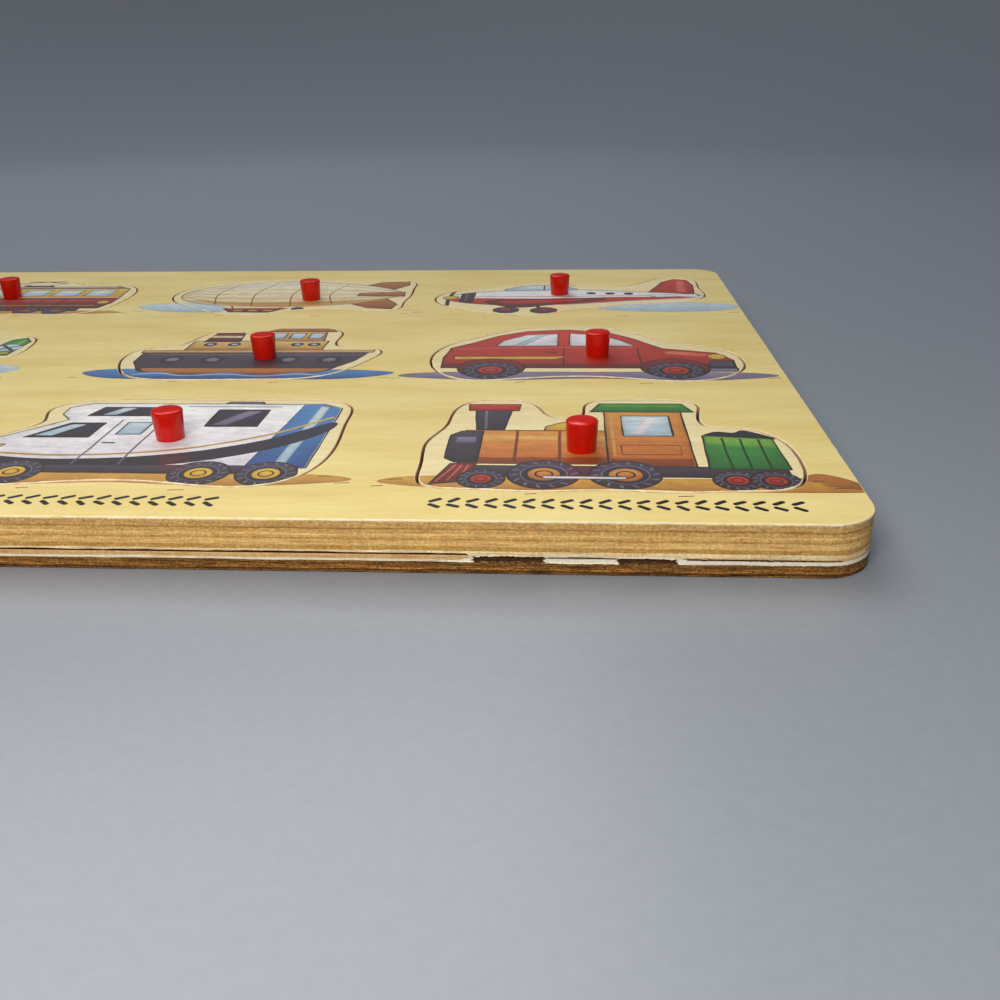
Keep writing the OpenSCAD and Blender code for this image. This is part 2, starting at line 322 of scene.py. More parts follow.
def camper(d):
    """A white camper with a blue tail and a dark sweep along its side."""
    d.area("pale", [(4, 18), (96, 18), (96, 88), (90, 94), (20, 94), (14.5, 88), (15, 79), (19, 72),
                    (11, 58), (4, 47)])
    d.area("blue", [(80, 18.4), (95.6, 18.4), (95.6, 87.5), (90, 93.4), (84, 93.4)], line=0)
    d.area("sky", [(87, 22), (90, 22), (92, 90), (89.5, 91)], line=0)
    d.area("navy", [(4.4, 30), (30, 26), (58, 32), (80, 48), (95.6, 70), (95.6, 58), (82, 36),
                    (58, 20), (30, 18.6), (4.4, 20)], soft=True, line=0)
    d.stroke("gold", [(5, 34), (30, 30), (57, 36), (79, 53), (95, 77)], 1.2, soft=True)
    d.area("navy", [(12.5, 50), (21, 68), (31, 68), (31, 50)])
    d.area("sky", [(15, 52), (22, 66), (26, 66), (20, 52)], line=0)
    d.area("navy", [(23, 77), (43, 77), (43, 89), (25, 89)])
    d.area("sky", [(27, 78.5), (31, 78.5), (35, 88), (31, 88)], line=0)
    d.area("navy", [(60, 64), (75, 64), (75, 86), (60, 86)])
    d.area("lilac", [(61.5, 66), (66, 66), (73, 84), (68.5, 84)], line=0)
    d.stroke("lilac", [(35, 19), (35, 72), (47, 72), (47, 19)], 0.7)
    d.stroke("ink", [(36.5, 44), (40, 44)], 1.0)
    d.area("sky", [(37.5, 54), (44.5, 54), (44.5, 69), (37.5, 69)])
    d.stroke("lilac", [(50, 90), (78, 90)], 0.7)
    d.area("lilac", [(3, 13), (15, 13), (15, 20), (3, 20)])
    d.area("gold", [(5, 34), (9.5, 34), (10.5, 42), (5.5, 42)])
    d.area("slate", [(15, 12), (94, 12), (94, 20), (15, 20)])
    for x in (22, 70, 87):
        d.wheel(x, 12.5, 8.2, "gold")
    d.area("lilac", [(60, 94), (72, 94), (71, 97), (61, 97)])


def pickup(d):
    """A blue pickup with a pale line along it and an open bed."""
    d.area("blue", [(4, 20), (97, 20), (97, 60), (67, 60), (62, 88), (58, 94), (42, 94), (37, 88),
                    (30, 64), (10, 58), (4, 48)])
    d.area("sky", [(5, 52), (30, 62), (36, 62), (36, 57), (10, 51)], line=0)
    d.area("navy", [(4.4, 20.5), (96.6, 20.5), (96.6, 28), (4.4, 28)], line=0)
    d.area("sky", [(34.5, 64), (49, 64), (49, 88), (43, 88), (40, 86)])
    d.area("pale", [(38, 65), (42, 65), (47, 87), (43.5, 87)], line=0)
    d.area("sky", [(52.5, 64), (62, 64), (58.5, 86), (56, 88), (52.5, 88)])
    d.stroke("navy", [(50.7, 22), (50.7, 62)], 0.7)
    d.stroke("navy", [(66, 22), (66, 59)], 0.7)
    d.stroke("pale", [(5, 41), (97, 41)], 1.6)
    d.stroke("ink", [(60, 50), (64, 50)], 1.1)
    d.area("clay", [(68, 58), (95.5, 58), (95.5, 63), (68, 63)])
    for x in (75, 82, 89):
        d.stroke("navy", [(x, 30), (x, 56)], 0.7)
    d.area("lilac", [(2.5, 18), (11, 18), (11, 26), (2.5, 26)])
    d.area("gold", [(4.5, 43), (9, 43), (10, 52), (6, 52)])
    d.area("lilac", [(92, 18), (98, 18), (98, 25), (92, 25)])
    for x in (21, 80):
        d.disc("navy", x, 19, 11.4, line=0)
        d.wheel(x, 17, 9.6, "gold")


def motorcar(d):
    """A round red motorcar with a gold lamp."""
    d.area("red", [(4, 20), (97, 20), (97.5, 34), (93, 47), (76, 55), (66, 76), (58, 88), (45, 93),
                   (30, 90), (20, 80), (12, 66), (5, 56), (3.5, 38)])
    d.area("rose", [(78, 50), (92, 44), (94, 39), (78, 44)], soft=True, line=0)
    d.area("maroon", [(4.2, 20.5), (96.6, 20.5), (96.8, 28), (4, 28)], line=0)
    d.area("pale", [(20, 60), (22, 70), (30, 82), (41, 85), (41, 60)])
    d.area("sky", [(26, 62), (30, 62), (38, 83), (34.5, 83)], line=0)
    d.area("pale", [(45, 60), (45, 85.5), (55, 82), (62, 72), (67, 60)])
    d.area("sky", [(50, 62), (54, 62), (57, 78), (54, 81)], line=0)
    d.stroke("maroon", [(43, 22), (43, 58)], 0.7)
    d.stroke("maroon", [(68, 22), (67.5, 57)], 0.7)
    d.stroke("rose", [(6, 53), (20, 56), (44, 57), (66, 56)], 1.2, soft=True)
    d.stroke("ink", [(37, 48), (41, 48)], 1.2)
    d.area("gold", [(7, 40), (44, 40), (40, 35), (7, 35)], line=0.4)
    d.area("slate", [(88, 20), (97.2, 20), (97, 33), (90, 33)])
    for y in (24, 27, 30):
        d.stroke("lilac", [(89.5, y), (96.5, y)], 0.6)
    d.disc("gold", 92.5, 40, 3.4)
    d.area("lilac", [(88, 14.5), (97, 14.5), (97.5, 20), (88, 20)])
    for x in (20, 78):
        d.disc("maroon", x, 20, 11.8)
        d.wheel(x, 16.5, 9.8, "red")


def tugboat(d):
    """A tugboat with a tan cabin, a maroon funnel and water at its foot."""
    d.area("tan", [(20, 52), (76, 52), (76, 70), (20, 70)])
    d.area("ochre", [(20.6, 52.5), (75.5, 52.5), (75.5, 57), (20.6, 57)], line=0)
    d.area("tan", [(46, 70), (74, 70), (72, 91), (48, 91)])
    d.area("clay", [(43.5, 89), (76.5, 89), (73, 96), (47, 96)])
    for x in (50, 58, 66):
        d.area("sky", [(x, 75), (x + 6, 75), (x + 6, 86), (x, 86)])
        d.stroke("pale", [(x + 1.5, 77), (x + 4, 85)], 1.0)
    d.area("maroon", [(24, 68), (39, 68), (37.5, 87), (25.5, 87)])
    d.area("cream", [(24.7, 76), (38.3, 76), (38, 81), (25, 81)], line=0.4)
    for x in (28, 38, 64, 71):
        d.disc("navy", x, 63, 2.3)
        d.disc("sky", x, 63, 1.2, line=0)
    d.area("slate", [(5, 50), (96.5, 51), (92, 32), (84, 15), (74, 9), (22, 9), (12, 14), (6, 30)])
    d.area("clay", [(14, 14), (22, 9.6), (74, 9.6), (83, 15), (85, 19), (12, 19)], line=0)
    d.area("tan", [(4, 46.5), (97, 47.5), (97.5, 52.5), (4, 51.5)])
    for x in (20, 36, 66, 82):
        d.disc("navy", x, 34, 4.4)
        d.disc("lilac", x, 34, 2.6, line=0.4)
        d.stroke("ink", [(x, 40), (x, 47)], 0.6)
    d.stroke("lilac", [(8, 43), (94, 43)], 0.8)
    d.area("blue", [(8, 9), (20, 13), (32, 8), (46, 12), (60, 8), (74, 12), (86, 8), (82, 4.5),
                    (54, 3), (14, 4.5)], soft=True, line=0)
    d.stroke("sky", [(12, 8), (22, 10.5), (32, 6.5), (46, 9.5), (60, 6), (74, 9.5), (84, 7)], 0.9, soft=True)


def helicopter(d):
    """A green helicopter on skids."""
    d.stroke("slate", [(11, 7), (15, 5), (50, 5), (55, 8)], 2.2, soft=True)
    for a, b in ((22, 26), (42, 39)):
        d.stroke("slate", [(a, 5), (b, 20)], 1.6)
    d.area("green", [(56, 30), (74, 39), (97, 42), (97, 50), (70, 57), (56, 60)])
    d.area("green", [(86, 44), (97, 43), (97, 68), (93, 76), (89, 72)])
    d.area("leaf", [(92, 46), (95.5, 46), (95, 70), (93, 72)], line=0)
    d.area("green", [(4, 38), (8, 24), (20, 15), (40, 13), (56, 20), (63, 36), (60, 52), (50, 63),
                     (34, 67), (18, 63), (8, 53)], soft=True)
    d.area("leaf", [(20, 60), (34, 64), (50, 59), (58, 50), (54, 48), (40, 55), (22, 55)], soft=True, line=0)
    d.area("pine", [(12, 24), (22, 18), (40, 15.5), (54, 21), (40, 22), (24, 24)], soft=True, line=0)
    d.area("sky", [(6, 38), (10, 27), (21, 24), (23, 40), (21, 57), (11, 51)], soft=True)
    d.area("pale", [(9, 40), (13, 30), (16, 30), (12, 46)], soft=True, line=0)
    d.area("sky", [(44, 38), (55, 37), (54, 48), (48, 54), (43, 54)])
    d.area("pale", [(46, 40), (49, 40), (51, 50), (48.5, 52)], line=0)
    d.stroke("gold", [(26, 31), (44, 30), (62, 41), (80, 44.5), (96, 46)], 1.6, soft=True)
    d.area("slate", [(31, 66), (43, 65), (41, 73), (33, 73)])
    d.area("slate", [(35.5, 73), (39, 73), (38.5, 86), (36, 86)])
    d.area("lilac", [(4, 87), (30, 89.5), (62, 90), (70, 92), (70, 95), (50, 94), (20, 94),
                     (4, 92)], soft=True)
    d.disc("slate", 37.2, 90.5, 3.0)
    d.disc("sky", 92.5, 56, 5.2, line=0.4)
    d.stroke("slate", [(89, 61), (96, 51)], 1.3)
    d.stroke("slate", [(89, 51), (96, 61)], 1.3)


def aeroplane(d):
    """A red and white aeroplane with a propeller and two wheels."""
    d.stroke("slate", [(27, 12), (32, 30)], 1.8)
    d.stroke("slate", [(40, 11), (36, 30)], 1.8)
    d.area("red", [(79, 54), (96, 46), (97.5, 76), (96, 92), (91, 95), (86, 86)])
    d.area("rose", [(90, 56), (94, 56), (94.5, 88), (92, 90)], line=0)
    d.area("pale", [(4, 43), (8, 32), (22, 24), (46, 24), (72, 34), (97, 42), (97, 50), (76, 58),
                    (50, 65), (24, 62), (9, 54)], soft=True)
    d.area("red", [(5, 40), (9, 31), (22, 25), (46, 25), (72, 35), (96, 43), (70, 44), (40, 40),
                   (16, 42)], soft=True, line=0)
    d.stroke("gold", [(7, 46), (24, 46), (48, 46), (76, 48.5), (95, 47)], 1.1, soft=True)
    d.area("sky", [(26, 62.5), (30, 74), (38, 78), (46, 75), (52, 64)], soft=True)
    d.area("pale", [(31, 65), (34, 65), (38, 75), (35, 74)], line=0)
    d.stroke("ink", [(40, 64), (40, 77)], 0.7)
    d.area("maroon", [(20, 36), (58, 41), (62, 36), (46, 26), (34, 18), (26, 20)], soft=True)
    d.area("red", [(25, 34), (54, 38), (46, 31), (30, 26)], soft=True, line=0)
    d.area("pale", [(78, 49), (97, 52), (98, 46), (82, 43)])
    d.stroke("slate", [(5, 22), (4.6, 43), (6, 62)], 1.8, soft=True)
    d.disc("gold", 5.2, 43, 3.4)
    d.area("slate", [(9, 33), (14, 30), (14, 58), (9, 54)])
    d.stroke("lilac", [(11, 35), (11, 53)], 0.7)
    for x in (58, 65, 72):
        d.disc("navy", x, 54.5 - 0.1 * (x - 58), 2.0)
    d.wheel(27, 11, 5.6, "red")
    d.wheel(40.5, 10, 5.6, "red")


def airship(d):
    """A cream airship with its seams, brown fins and a maroon car."""
    d.area("clay", [(76, 76), (84, 90), (96, 92), (97, 80), (90, 64)])
    d.area("clay", [(76, 30), (86, 16), (96, 13), (97, 26), (90, 44)])
    d.area("cream", [(3, 55), (7, 38), (22, 25), (48, 19), (74, 25), (90, 40), (97, 53), (91, 68),
                     (74, 83), (48, 92), (24, 86), (8, 72)], soft=True)
    d.area("tan", [(10, 38), (24, 27), (48, 21), (74, 27), (88, 40), (70, 36), (44, 32),
                   (24, 34)], soft=True, line=0)
    d.area("pale", [(14, 70), (28, 80), (46, 84), (64, 80), (46, 79), (28, 74)], soft=True, line=0)
    for lift in (-22, -11, 0, 11, 22):
        d.stroke("clay", [(5, 55 + 0.35 * lift), (24, 55.5 + 1.08 * lift), (48, 55.5 + 1.22 * lift),
                          (74, 54 + 1.0 * lift), (95, 53 + 0.3 * lift)], 0.6, soft=True)
    for x, h in ((22, 28.5), (38, 33.5), (54, 34), (70, 28)):
        d.stroke("clay", [(x, 55.5 - h), (x - 4, 55.5), (x, 55.5 + h)], 0.6, soft=True)
    d.area("clay", [(78, 58), (97, 60), (98, 47), (78, 49)])
    d.area("maroon", [(28, 16), (32, 6), (48, 5), (54, 16)])
    d.area("red", [(29, 15.5), (53, 15.5), (52, 12.5), (30, 12.5)], line=0)
    for x in (33, 39, 45):
        d.area("gold", [(x, 8.2), (x + 4, 8.2), (x + 4, 12), (x, 12)], line=0.35)
    d.stroke("ink", [(32, 16), (30, 22)], 0.7)
    d.stroke("ink", [(50, 16), (52, 20)], 0.7)
    d.disc("slate", 58, 15, 2.6)


def tramcar(d):
    """A maroon and gold tramcar with its bow collector."""
    d.area("slate", [(12, 9), (88, 9), (88, 17), (12, 17)])
    d.area("maroon", [(4, 16), (95, 16), (97, 30), (96.5, 45), (3.5, 45), (3, 30)])
    d.area("red", [(4, 34), (96.5, 34), (96.5, 40), (4, 40)], line=0)
    d.area("gold", [(3.5, 45), (96.5, 45), (94, 74), (6, 74)])
    d.area("lilac", [(6, 74), (94, 74), (88, 80.5), (12, 80.5)])
    d.stroke("pale", [(13, 78.5), (87, 78.5)], 1.0)
    for x in range(9, 80, 14):
        d.area("sky", [(x, 51), (x + 11, 51), (x + 11, 69), (x, 69)])
        d.area("pale", [(x + 2, 52), (x + 4.5, 52), (x + 8, 68), (x + 5.5, 68)], line=0)
    d.stroke("cream", [(4, 46.5), (96, 46.5)], 1.1)
    d.stroke("gold", [(8, 24), (92, 24)], 0.8)
    for x in (34, 43, 66, 75):
        d.stroke("ink", [(x, 18), (x, 44)], 0.7)
    d.disc("gold", 93, 33, 3.0)
    d.area("slate", [(44, 80.5), (58, 80.5), (57, 84), (45, 84)])
    d.stroke("slate", [(47, 84), (40, 90), (50, 96)], 1.2)
    d.stroke("slate", [(55, 84), (62, 90), (52, 96)], 1.2)
    d.stroke("ink", [(42, 96.5), (60, 96.5)], 1.3)
    for x in (20, 32, 68, 80):
        d.wheel(x, 9, 5.4, "clay")


MOTIFS = {motif.__name__: motif for motif in (
    pickup, camper, locomotive, helicopter, tugboat, motorcar, tramcar, airship, aeroplane)}

# Ground, water and cloud washes that run on from each piece over the saw cut on to the board
GROUNDS = {
    "pickup": [("ochre", [(-6, 5), (20, 0), (50, 3), (80, 0), (107, 5), (98, 12), (50, 13), (4, 12)])],
    "camper": [("ochre", [(-7, 6), (20, 0), (50, 3), (80, 0), (108, 6), (98, 12), (50, 12), (4, 12)])],
    "locomotive": [
        ("clay", [(94, 3), (113.5, 2.5), (113.5, 6), (108, 14), (102, 17), (96, 10)]),
        ("ochre", [(-9, 6), (20, 0), (50, 2), (80, 0), (113.5, 1), (104, 6), (96, 11), (50, 12), (4, 13)]),
    ],
    "helicopter": [("sky", [(66, 14), (84, 6), (104, 10), (110, 20), (98, 27), (82, 25)])],
    "tugboat": [("blue", [(-8, 12), (6, 2), (50, 1), (92, 2), (110, 12), (90, 17), (50, 15), (8, 18)])],
    "motorcar": [("lilac", [(-8, 6), (20, 0), (50, 3), (84, 0), (108, 7), (97, 13), (50, 14), (4, 13)])],
    "tramcar": [("ochre", [(-7, 4), (20, 0), (50, 1), (80, 0), (107, 4), (96, 10), (50, 11), (4, 10)])],
    "airship": [("sky", [(-8, 20), (6, 8), (26, 6), (30, 16), (18, 28), (2, 30)])],
    "aeroplane": [("sky", [(60, 14), (80, 6), (104, 10), (109, 22), (92, 30), (72, 26)])],
}
# Small marks on the ground round each piece: the middle's place and the reach, in percent of the piece's box,
# then their rise in percent and their width in mm
FLECKS = [(-5, 9, 4), (-9, 3, 3), (102, 10, 3), (107, 4, 4), (30, -3, 3), (68, -4, 4)]
FLECK_RISE, FLECK_WIDTH = 0.6, 0.45


def drawn(name, motif=True):
    """One vehicle's printed ground, with its picture too where it is asked for."""
    picture = Print(name)
    for ink, points in GROUNDS[name]:
        picture.area(ink, points, soft=True, line=0)
    for x, y, reach in FLECKS:
        picture.stroke("rust", [(x - reach / 2, y), (x + reach / 2, y + FLECK_RISE)], FLECK_WIDTH)
    if motif:
        MOTIFS[name](picture)
    return picture


def inside(loop, spots):
    """Which spots a closed loop winds round."""
    a = np.array(loop)
    b = np.roll(a, -1, 0)
    near = np.flatnonzero(((spots >= a.min(0)) & (spots <= a.max(0))).all(1))
    x, y = spots[near, :1], spots[near, 1:]
    side = (b[:, 0] - a[:, 0]) * (y - a[:, 1]) - (x - a[:, 0]) * (b[:, 1] - a[:, 1])
    rise = (a[:, 1] <= y) & (b[:, 1] > y) & (side > 0)
    fall = (a[:, 1] > y) & (b[:, 1] <= y) & (side < 0)
    found = np.zeros(len(spots), bool)
    found[near] = rise.sum(1) != fall.sum(1)
    return found


def between(loops, spots):
    """Which spots lie inside the first loop and outside all the others."""
    outer, *holes = loops
    found = inside(outer, spots)
    for hole in holes:
        found &= ~inside(hole, spots)
    return found


def triangles(loops):
    """Corners and triangles of a flat sheet that is split along every one of the loops."""
    points, edges = [], []
    for loop in loops:
        first = len(points)
        points += [Vector(p) for p in loop]
        edges += [(first + i, first + (i + 1) % len(loop)) for i in range(len(loop))]
    corners, _, faces, sources, *_ = delaunay_2d_cdt(points, edges, [], 0, WELD)
    return np.array(corners), np.array(faces), sources


def rims(faces):
    """The closed rims of a sheet of triangles, each with the sheet on its left."""
    sides = {(int(f[i]), int(f[(i + 1) % 3])): None for f in faces for i in range(3)}
    follow = {a: b for a, b in sides if (b, a) not in sides}
    loops = []
    while follow:
        start, at = follow.popitem()
        loop = [start]
        while at != start:
            loop.append(at)
            at = follow.pop(at)
        loops.append(loop)
    return loops


def way_to(loop, spots):
    """The level way from each spot to the nearest place on a closed loop: its direction and its length."""
    a = np.array(loop)
    along = np.roll(a, -1, 0) - a
    share = ((spots[:, None] - a) * along).sum(2) / (along ** 2).sum(1)
    way = a + along * np.clip(share, 0, 1)[..., None] - spots[:, None]
    far = np.linalg.norm(way, axis=2)
    near = np.arange(len(spots)), far.argmin(1)
    return way[near] / np.maximum(far[near], TINY)[:, None], far[near]


def washed(points, ink, spots):
    """A mark's ink at spots of it: one shade running into the other, and darker where the wash dried at its
    rim."""
    upper, lower = (np.array(shade) for shade in INKS[ink])
    low, high = np.min(points, 0)[1], np.max(points, 0)[1]
    tone = lower + (upper - lower) * ((spots[:, 1:] - low) / (high - low))
    tone[:, :3] *= 1 - RIM_DARK * np.exp(-way_to(points, spots)[1] / RIM_REACH)[:, None]
    return tone


class Shell:
    """The faces of one closed piece, gathered in millimetres with their finish and print."""

    def __init__(self):
        self.spots = []
        self.faces = []
        self.finishes = []
        self.smooth = []
        self.inks = []
        self.tints = {}

    def face(self, corners, finish, smooth=True, inks=None):
        """Adds one face; its inks are its own or its corners' tints."""
        self.faces.append(corners)
        self.finishes.append(finish)
        self.smooth.append(smooth)
        self.inks += inks or [self.tints.get(i, BARE) for i in corners]

    def sheet(self, loops, prints, level, ground=BARE):
        """Lays the printed face inside the first loop and outside the others; returns its rims."""
        marks = [mark for picture in prints for mark in picture.marks]
        guides = [guide for picture in prints for guide in picture.guides]
        corners, faces, _ = triangles(loops + [points for points, _ in marks] + guides)
        centres = corners[faces].mean(1)
        kept = between(loops, centres)
        owner = np.full(len(faces), -1)
        for i, (points, _) in enumerate(marks):
            owner[inside(points, centres)] = i
        faces, owner = faces[kept], owner[kept]
        used = np.unique(faces)
        moved = {int(old): len(self.spots) + new for new, old in enumerate(used)}
        self.spots += [(*corners[old], level) for old in used]
        inks = np.full((len(faces), 3, 4), ground)
        for i, (points, ink) in enumerate(marks):
            mine = owner == i
            inks[mine] = washed(points, ink, corners[faces[mine]].reshape(-1, 2)).reshape(-1, 3, 4)
        for face, shades in zip(faces, inks):
            self.face([moved[int(i)] for i in face], PRINT, smooth=False,
                      inks=[tuple(shade) for shade in shades])
        return [[moved[i] for i in loop] for loop in rims(faces)]

    def ring(self, points, away, out, level):
        """A ring of corners round a rim, moved off its sheet and set to a level."""
        first, count = len(self.spots), len(points)
        moved = points + away * np.broadcast_to(out, count)[:, None]
        self.spots += [(*p, z) for p, z in zip(moved, np.broadcast_to(level, count))]
        return list(range(first, first + count))

    def band(self, upper, lower, finish):
        """Faces between two rings of as many corners."""
        for i in range(len(upper)):
            j = (i + 1) % len(upper)
            self.face([upper[i], lower[i], lower[j], upper[j]], finish)

    def skirt(self, rim, away, steps):
        """Bands down from a rim, each step a move away from it, a level, a finish and a tint where it has
        one; returns the last ring."""
        points = self.rim_points(rim)
        for out, level, finish, *tint in steps:
            lower = self.ring(points, away, out, level)
            self.tints.update({i: tint[0] for i in lower if tint})
            self.band(rim, lower, finish)
            rim = lower
        return rim

    def rim_points(self, rim):
        """A rim's corners as places on the board."""
        return np.array([self.spots[i][:2] for i in rim])

    def close(self, rings, finish, up=False):
        """Closes the flat space between rings that are there already."""
        loops = [[self.spots[i][:2] for i in ring] for ring in rings]
        corners, faces, sources = triangles(loops)
        order = [i for ring in rings for i in ring]
        widest_first = sorted(loops, key=lambda loop: -np.ptp(np.array(loop)[:, 0]))
        for face in faces[between(widest_first, corners[faces].mean(1))]:
            corner = [order[sources[i][0]] for i in face]
            self.face(corner if up else corner[::-1], finish, smooth=False)

    def piece(self, name, materials):
        """The shell as an object at the origin, its place in its mesh."""
        mesh = bpy.data.meshes.new(name)
        mesh.from_pydata([tuple(c * MM for c in spot) for spot in self.spots], [], self.faces)
        for made in materials:
            mesh.materials.append(made)
        mesh.polygons.foreach_set("material_index", self.finishes)
        # The colour layer holds the print on level faces and, on edges, the tints of glue and tear, partly
        # painted shade
        print_tint_and_shade_layer = mesh.color_attributes.new("ink", "FLOAT_COLOR", "CORNER")
        print_tint_and_shade_layer.data.foreach_set("color", np.array(self.inks, np.float32).ravel())
        # The angle makes every face smooth, so the level ones are set flat after it
        mesh.set_sharp_from_angle(angle=SHARP_SAWN)
        mesh.polygons.foreach_set("use_smooth", self.smooth)
        return placed(name, mesh)


def placed(name, mesh):
    """An object for a finished mesh, linked to the scene."""
    made = bpy.data.objects.new(name, mesh)
    bpy.context.scene.collection.objects.link(made)
    return made


def dressed(piece, body, slot, *nodes):
    """Lets a piece ride on its body and stand for its CAD nodes, which it hides; its slot is not used."""
    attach(piece, body)
    if nodes:
        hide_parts(*nodes)


# A CAD face is level from this upright share of its normal, and at a level within this many mm
LEVEL_FACE, LEVEL_NEAR = 0.999, 0.02


def cad_loops(name, level):
    """The loops round a CAD node's flat face at a level, the longest first, all counterclockwise."""
    mesh = bmesh.new()
    mesh.from_mesh(frame["nodes"][name].data)
    bmesh.ops.remove_doubles(mesh, verts=mesh.verts, dist=WELD * MM)
    flat = {f for f in mesh.faces
            if abs(f.normal.z) > LEVEL_FACE and abs(f.calc_center_median().z / MM - level) < LEVEL_NEAR}
    follow = {corner.vert: corner.link_loop_next.vert for f in flat for corner in f.loops
              if sum(g in flat for g in corner.edge.link_faces) == 1}
    loops = []
    for start in sorted(follow, key=lambda v: v.index):
        loop = []
        while start in follow:
            loop.append(tuple(start.co.xy / MM))
            start = follow.pop(start)
        if loop:
            loops.append(counterclockwise(loop))
    mesh.free()
    return sorted(loops, key=lambda loop: -sum(math.dist(a, b) for a, b in zip(loop, loop[1:])))


# Shortest step in mm that is left at the end of a side
LAST_STEP = 0.05


def board_outline(step):
    """The board's rounded rectangle, its straight sides split at a step that may follow the place."""
    r = CORNER_R
    across, along = BOARD_HIGH.x - r, BOARD_HIGH.y - r
    centres = [(across, -along), (across, along), (-across, along), (-across, -along)]
    points = []
    for k, (x, y) in enumerate(centres):
        turn = [math.pi / 2 * (k - 1 + i / CORNER_STEPS) for i in range(CORNER_STEPS + 1)]
        points += [(x + r * math.cos(a), y + r * math.sin(a)) for a in turn]
        (ax, ay), (nx, ny) = points[-1], centres[(k + 1) % 4]
        bx, by = nx + r * math.cos(turn[-1]), ny + r * math.sin(turn[-1])
        side = math.dist((ax, ay), (bx, by))
        at = step(ax, ay)
        while at < side - LAST_STEP:
            points.append((ax + (bx - ax) * at / side, ay + (by - ay) * at / side))
            at += step(*points[-1])
    return points


def arris(radius, top, finish):
    """Steps of a quarter round from a level sheet over to its edge."""
    turn = [math.pi / 2 * k / ARRIS_STEPS for k in range(1, ARRIS_STEPS + 1)]
    return [(radius * math.sin(a), top - radius * (1 - math.cos(a)), finish) for a in turn]


# Reach in mm of the slow and the quick unevenness along a sanded edge, each with its share of the radius, and
# the least share of the radius that is left
UNEVEN = ((2.8, 0.9), (0.8, 0.7))
LEAST_ROUND = 0.3
# The same along the board's own edge, which a machine sanded
MACHINED = ((2.8, 0.5), (0.8, 0.4))
# How far down in mm the first ring below an arris lies; it keeps the wall's shading even
UNDER_ARRIS = 1.0


def ragged(points, size, uneven=UNEVEN):
    """The size of a sanded edge at each point of its run, uneven as hand work leaves it."""
    shares = [1 + sum(k * noise.noise((x / reach, y / reach, reach)) for reach, k in uneven)
              for x, y in points]
    return size * np.clip(shares, LEAST_ROUND, None)


def feed(tree, socket, value):
    """Sets an input to a plain value, or links it to an output or to a node's first output in use."""
    if isinstance(value, bpy.types.Node):
        value = next(out for out in value.outputs if out.enabled)
    if isinstance(value, bpy.types.NodeSocket):
        tree.links.new(value, socket)
    else:
        socket.default_value = value


def node(tree, kind, inputs=None, stops=None, **settings):
    """Adds a node to a tree with its settings, its colour stops, and each input set or linked."""
    made = tree.nodes.new(kind)
    for name, value in settings.items():
        setattr(made, name, value)
    for i, (at, colour) in enumerate(stops or ()):
        ramp = made.color_ramp.elements
        stop = ramp[i] if i < 2 else ramp.new(at)
        stop.position, stop.color = at, colour
    for name, value in (inputs or {}).items():
        feed(tree, made.inputs[name], value)
    return made


def new_finish(name, **inputs):
    """A new material of that name: its tree, its shader with those inputs, and its place in millimetres."""
    made = bpy.data.materials.new(name)
    made.use_nodes = True
    tree = made.node_tree
    tree.nodes.clear()
    shader = node(tree, "ShaderNodeBsdfPrincipled", {k.replace("_", " "): v for k, v in inputs.items()})
    node(tree, "ShaderNodeOutputMaterial", {"Surface": shader})
    place = node(tree, "ShaderNodeVectorMath", {
        0: node(tree, "ShaderNodeTexCoord").outputs["Object"], "Scale": 1 / MM}, operation="SCALE")
    return made, tree, shader, place


def figure(tree, place, size, low=0.0, high=1.0, detail=3.0, rough=0.55, span=(0.3, 0.7)):
    """Noise whose features measure size millimetres along x, y and z: from low to high over a span."""
    spread = node(tree, "ShaderNodeVectorMath", {0: place, 1: size}, operation="DIVIDE")
    cloud = node(tree, "ShaderNodeTexNoise", {"Vector": spread, "Scale": 1.0, "Detail": detail,
                                              "Roughness": rough})
    return node(tree, "ShaderNodeMapRange", {"Value": cloud, "From Min": span[0], "From Max": span[1],
                                             "To Min": low, "To Max": high})


def toned(tree, first, second, share, *tones, **settings):
    """A colour between two by a share, then made lighter or darker by each of the tones."""
    made = node(tree, "ShaderNodeMix", {0: share, 6: first, 7: second}, data_type="RGBA", **settings)
    for tone in tones:
        made = node(tree, "ShaderNodeVectorMath", {0: made, "Scale": tone}, operation="SCALE")
    return made


# How strongly a relief bends the light
RELIEF = 0.5


def settle(tree, shader, colour, height, depth):
    """Gives a shader its colour, and a relief that is depth millimetres deep where a pattern rises."""
    relief = node(tree, "ShaderNodeBump", {"Height": height, "Strength": RELIEF, "Distance": depth * MM})
    feed(tree, shader.inputs["Base Color"], colour)
    feed(tree, shader.inputs["Normal"], relief)


# How far solid ink hides the wood under it
INK_COVER = 0.97


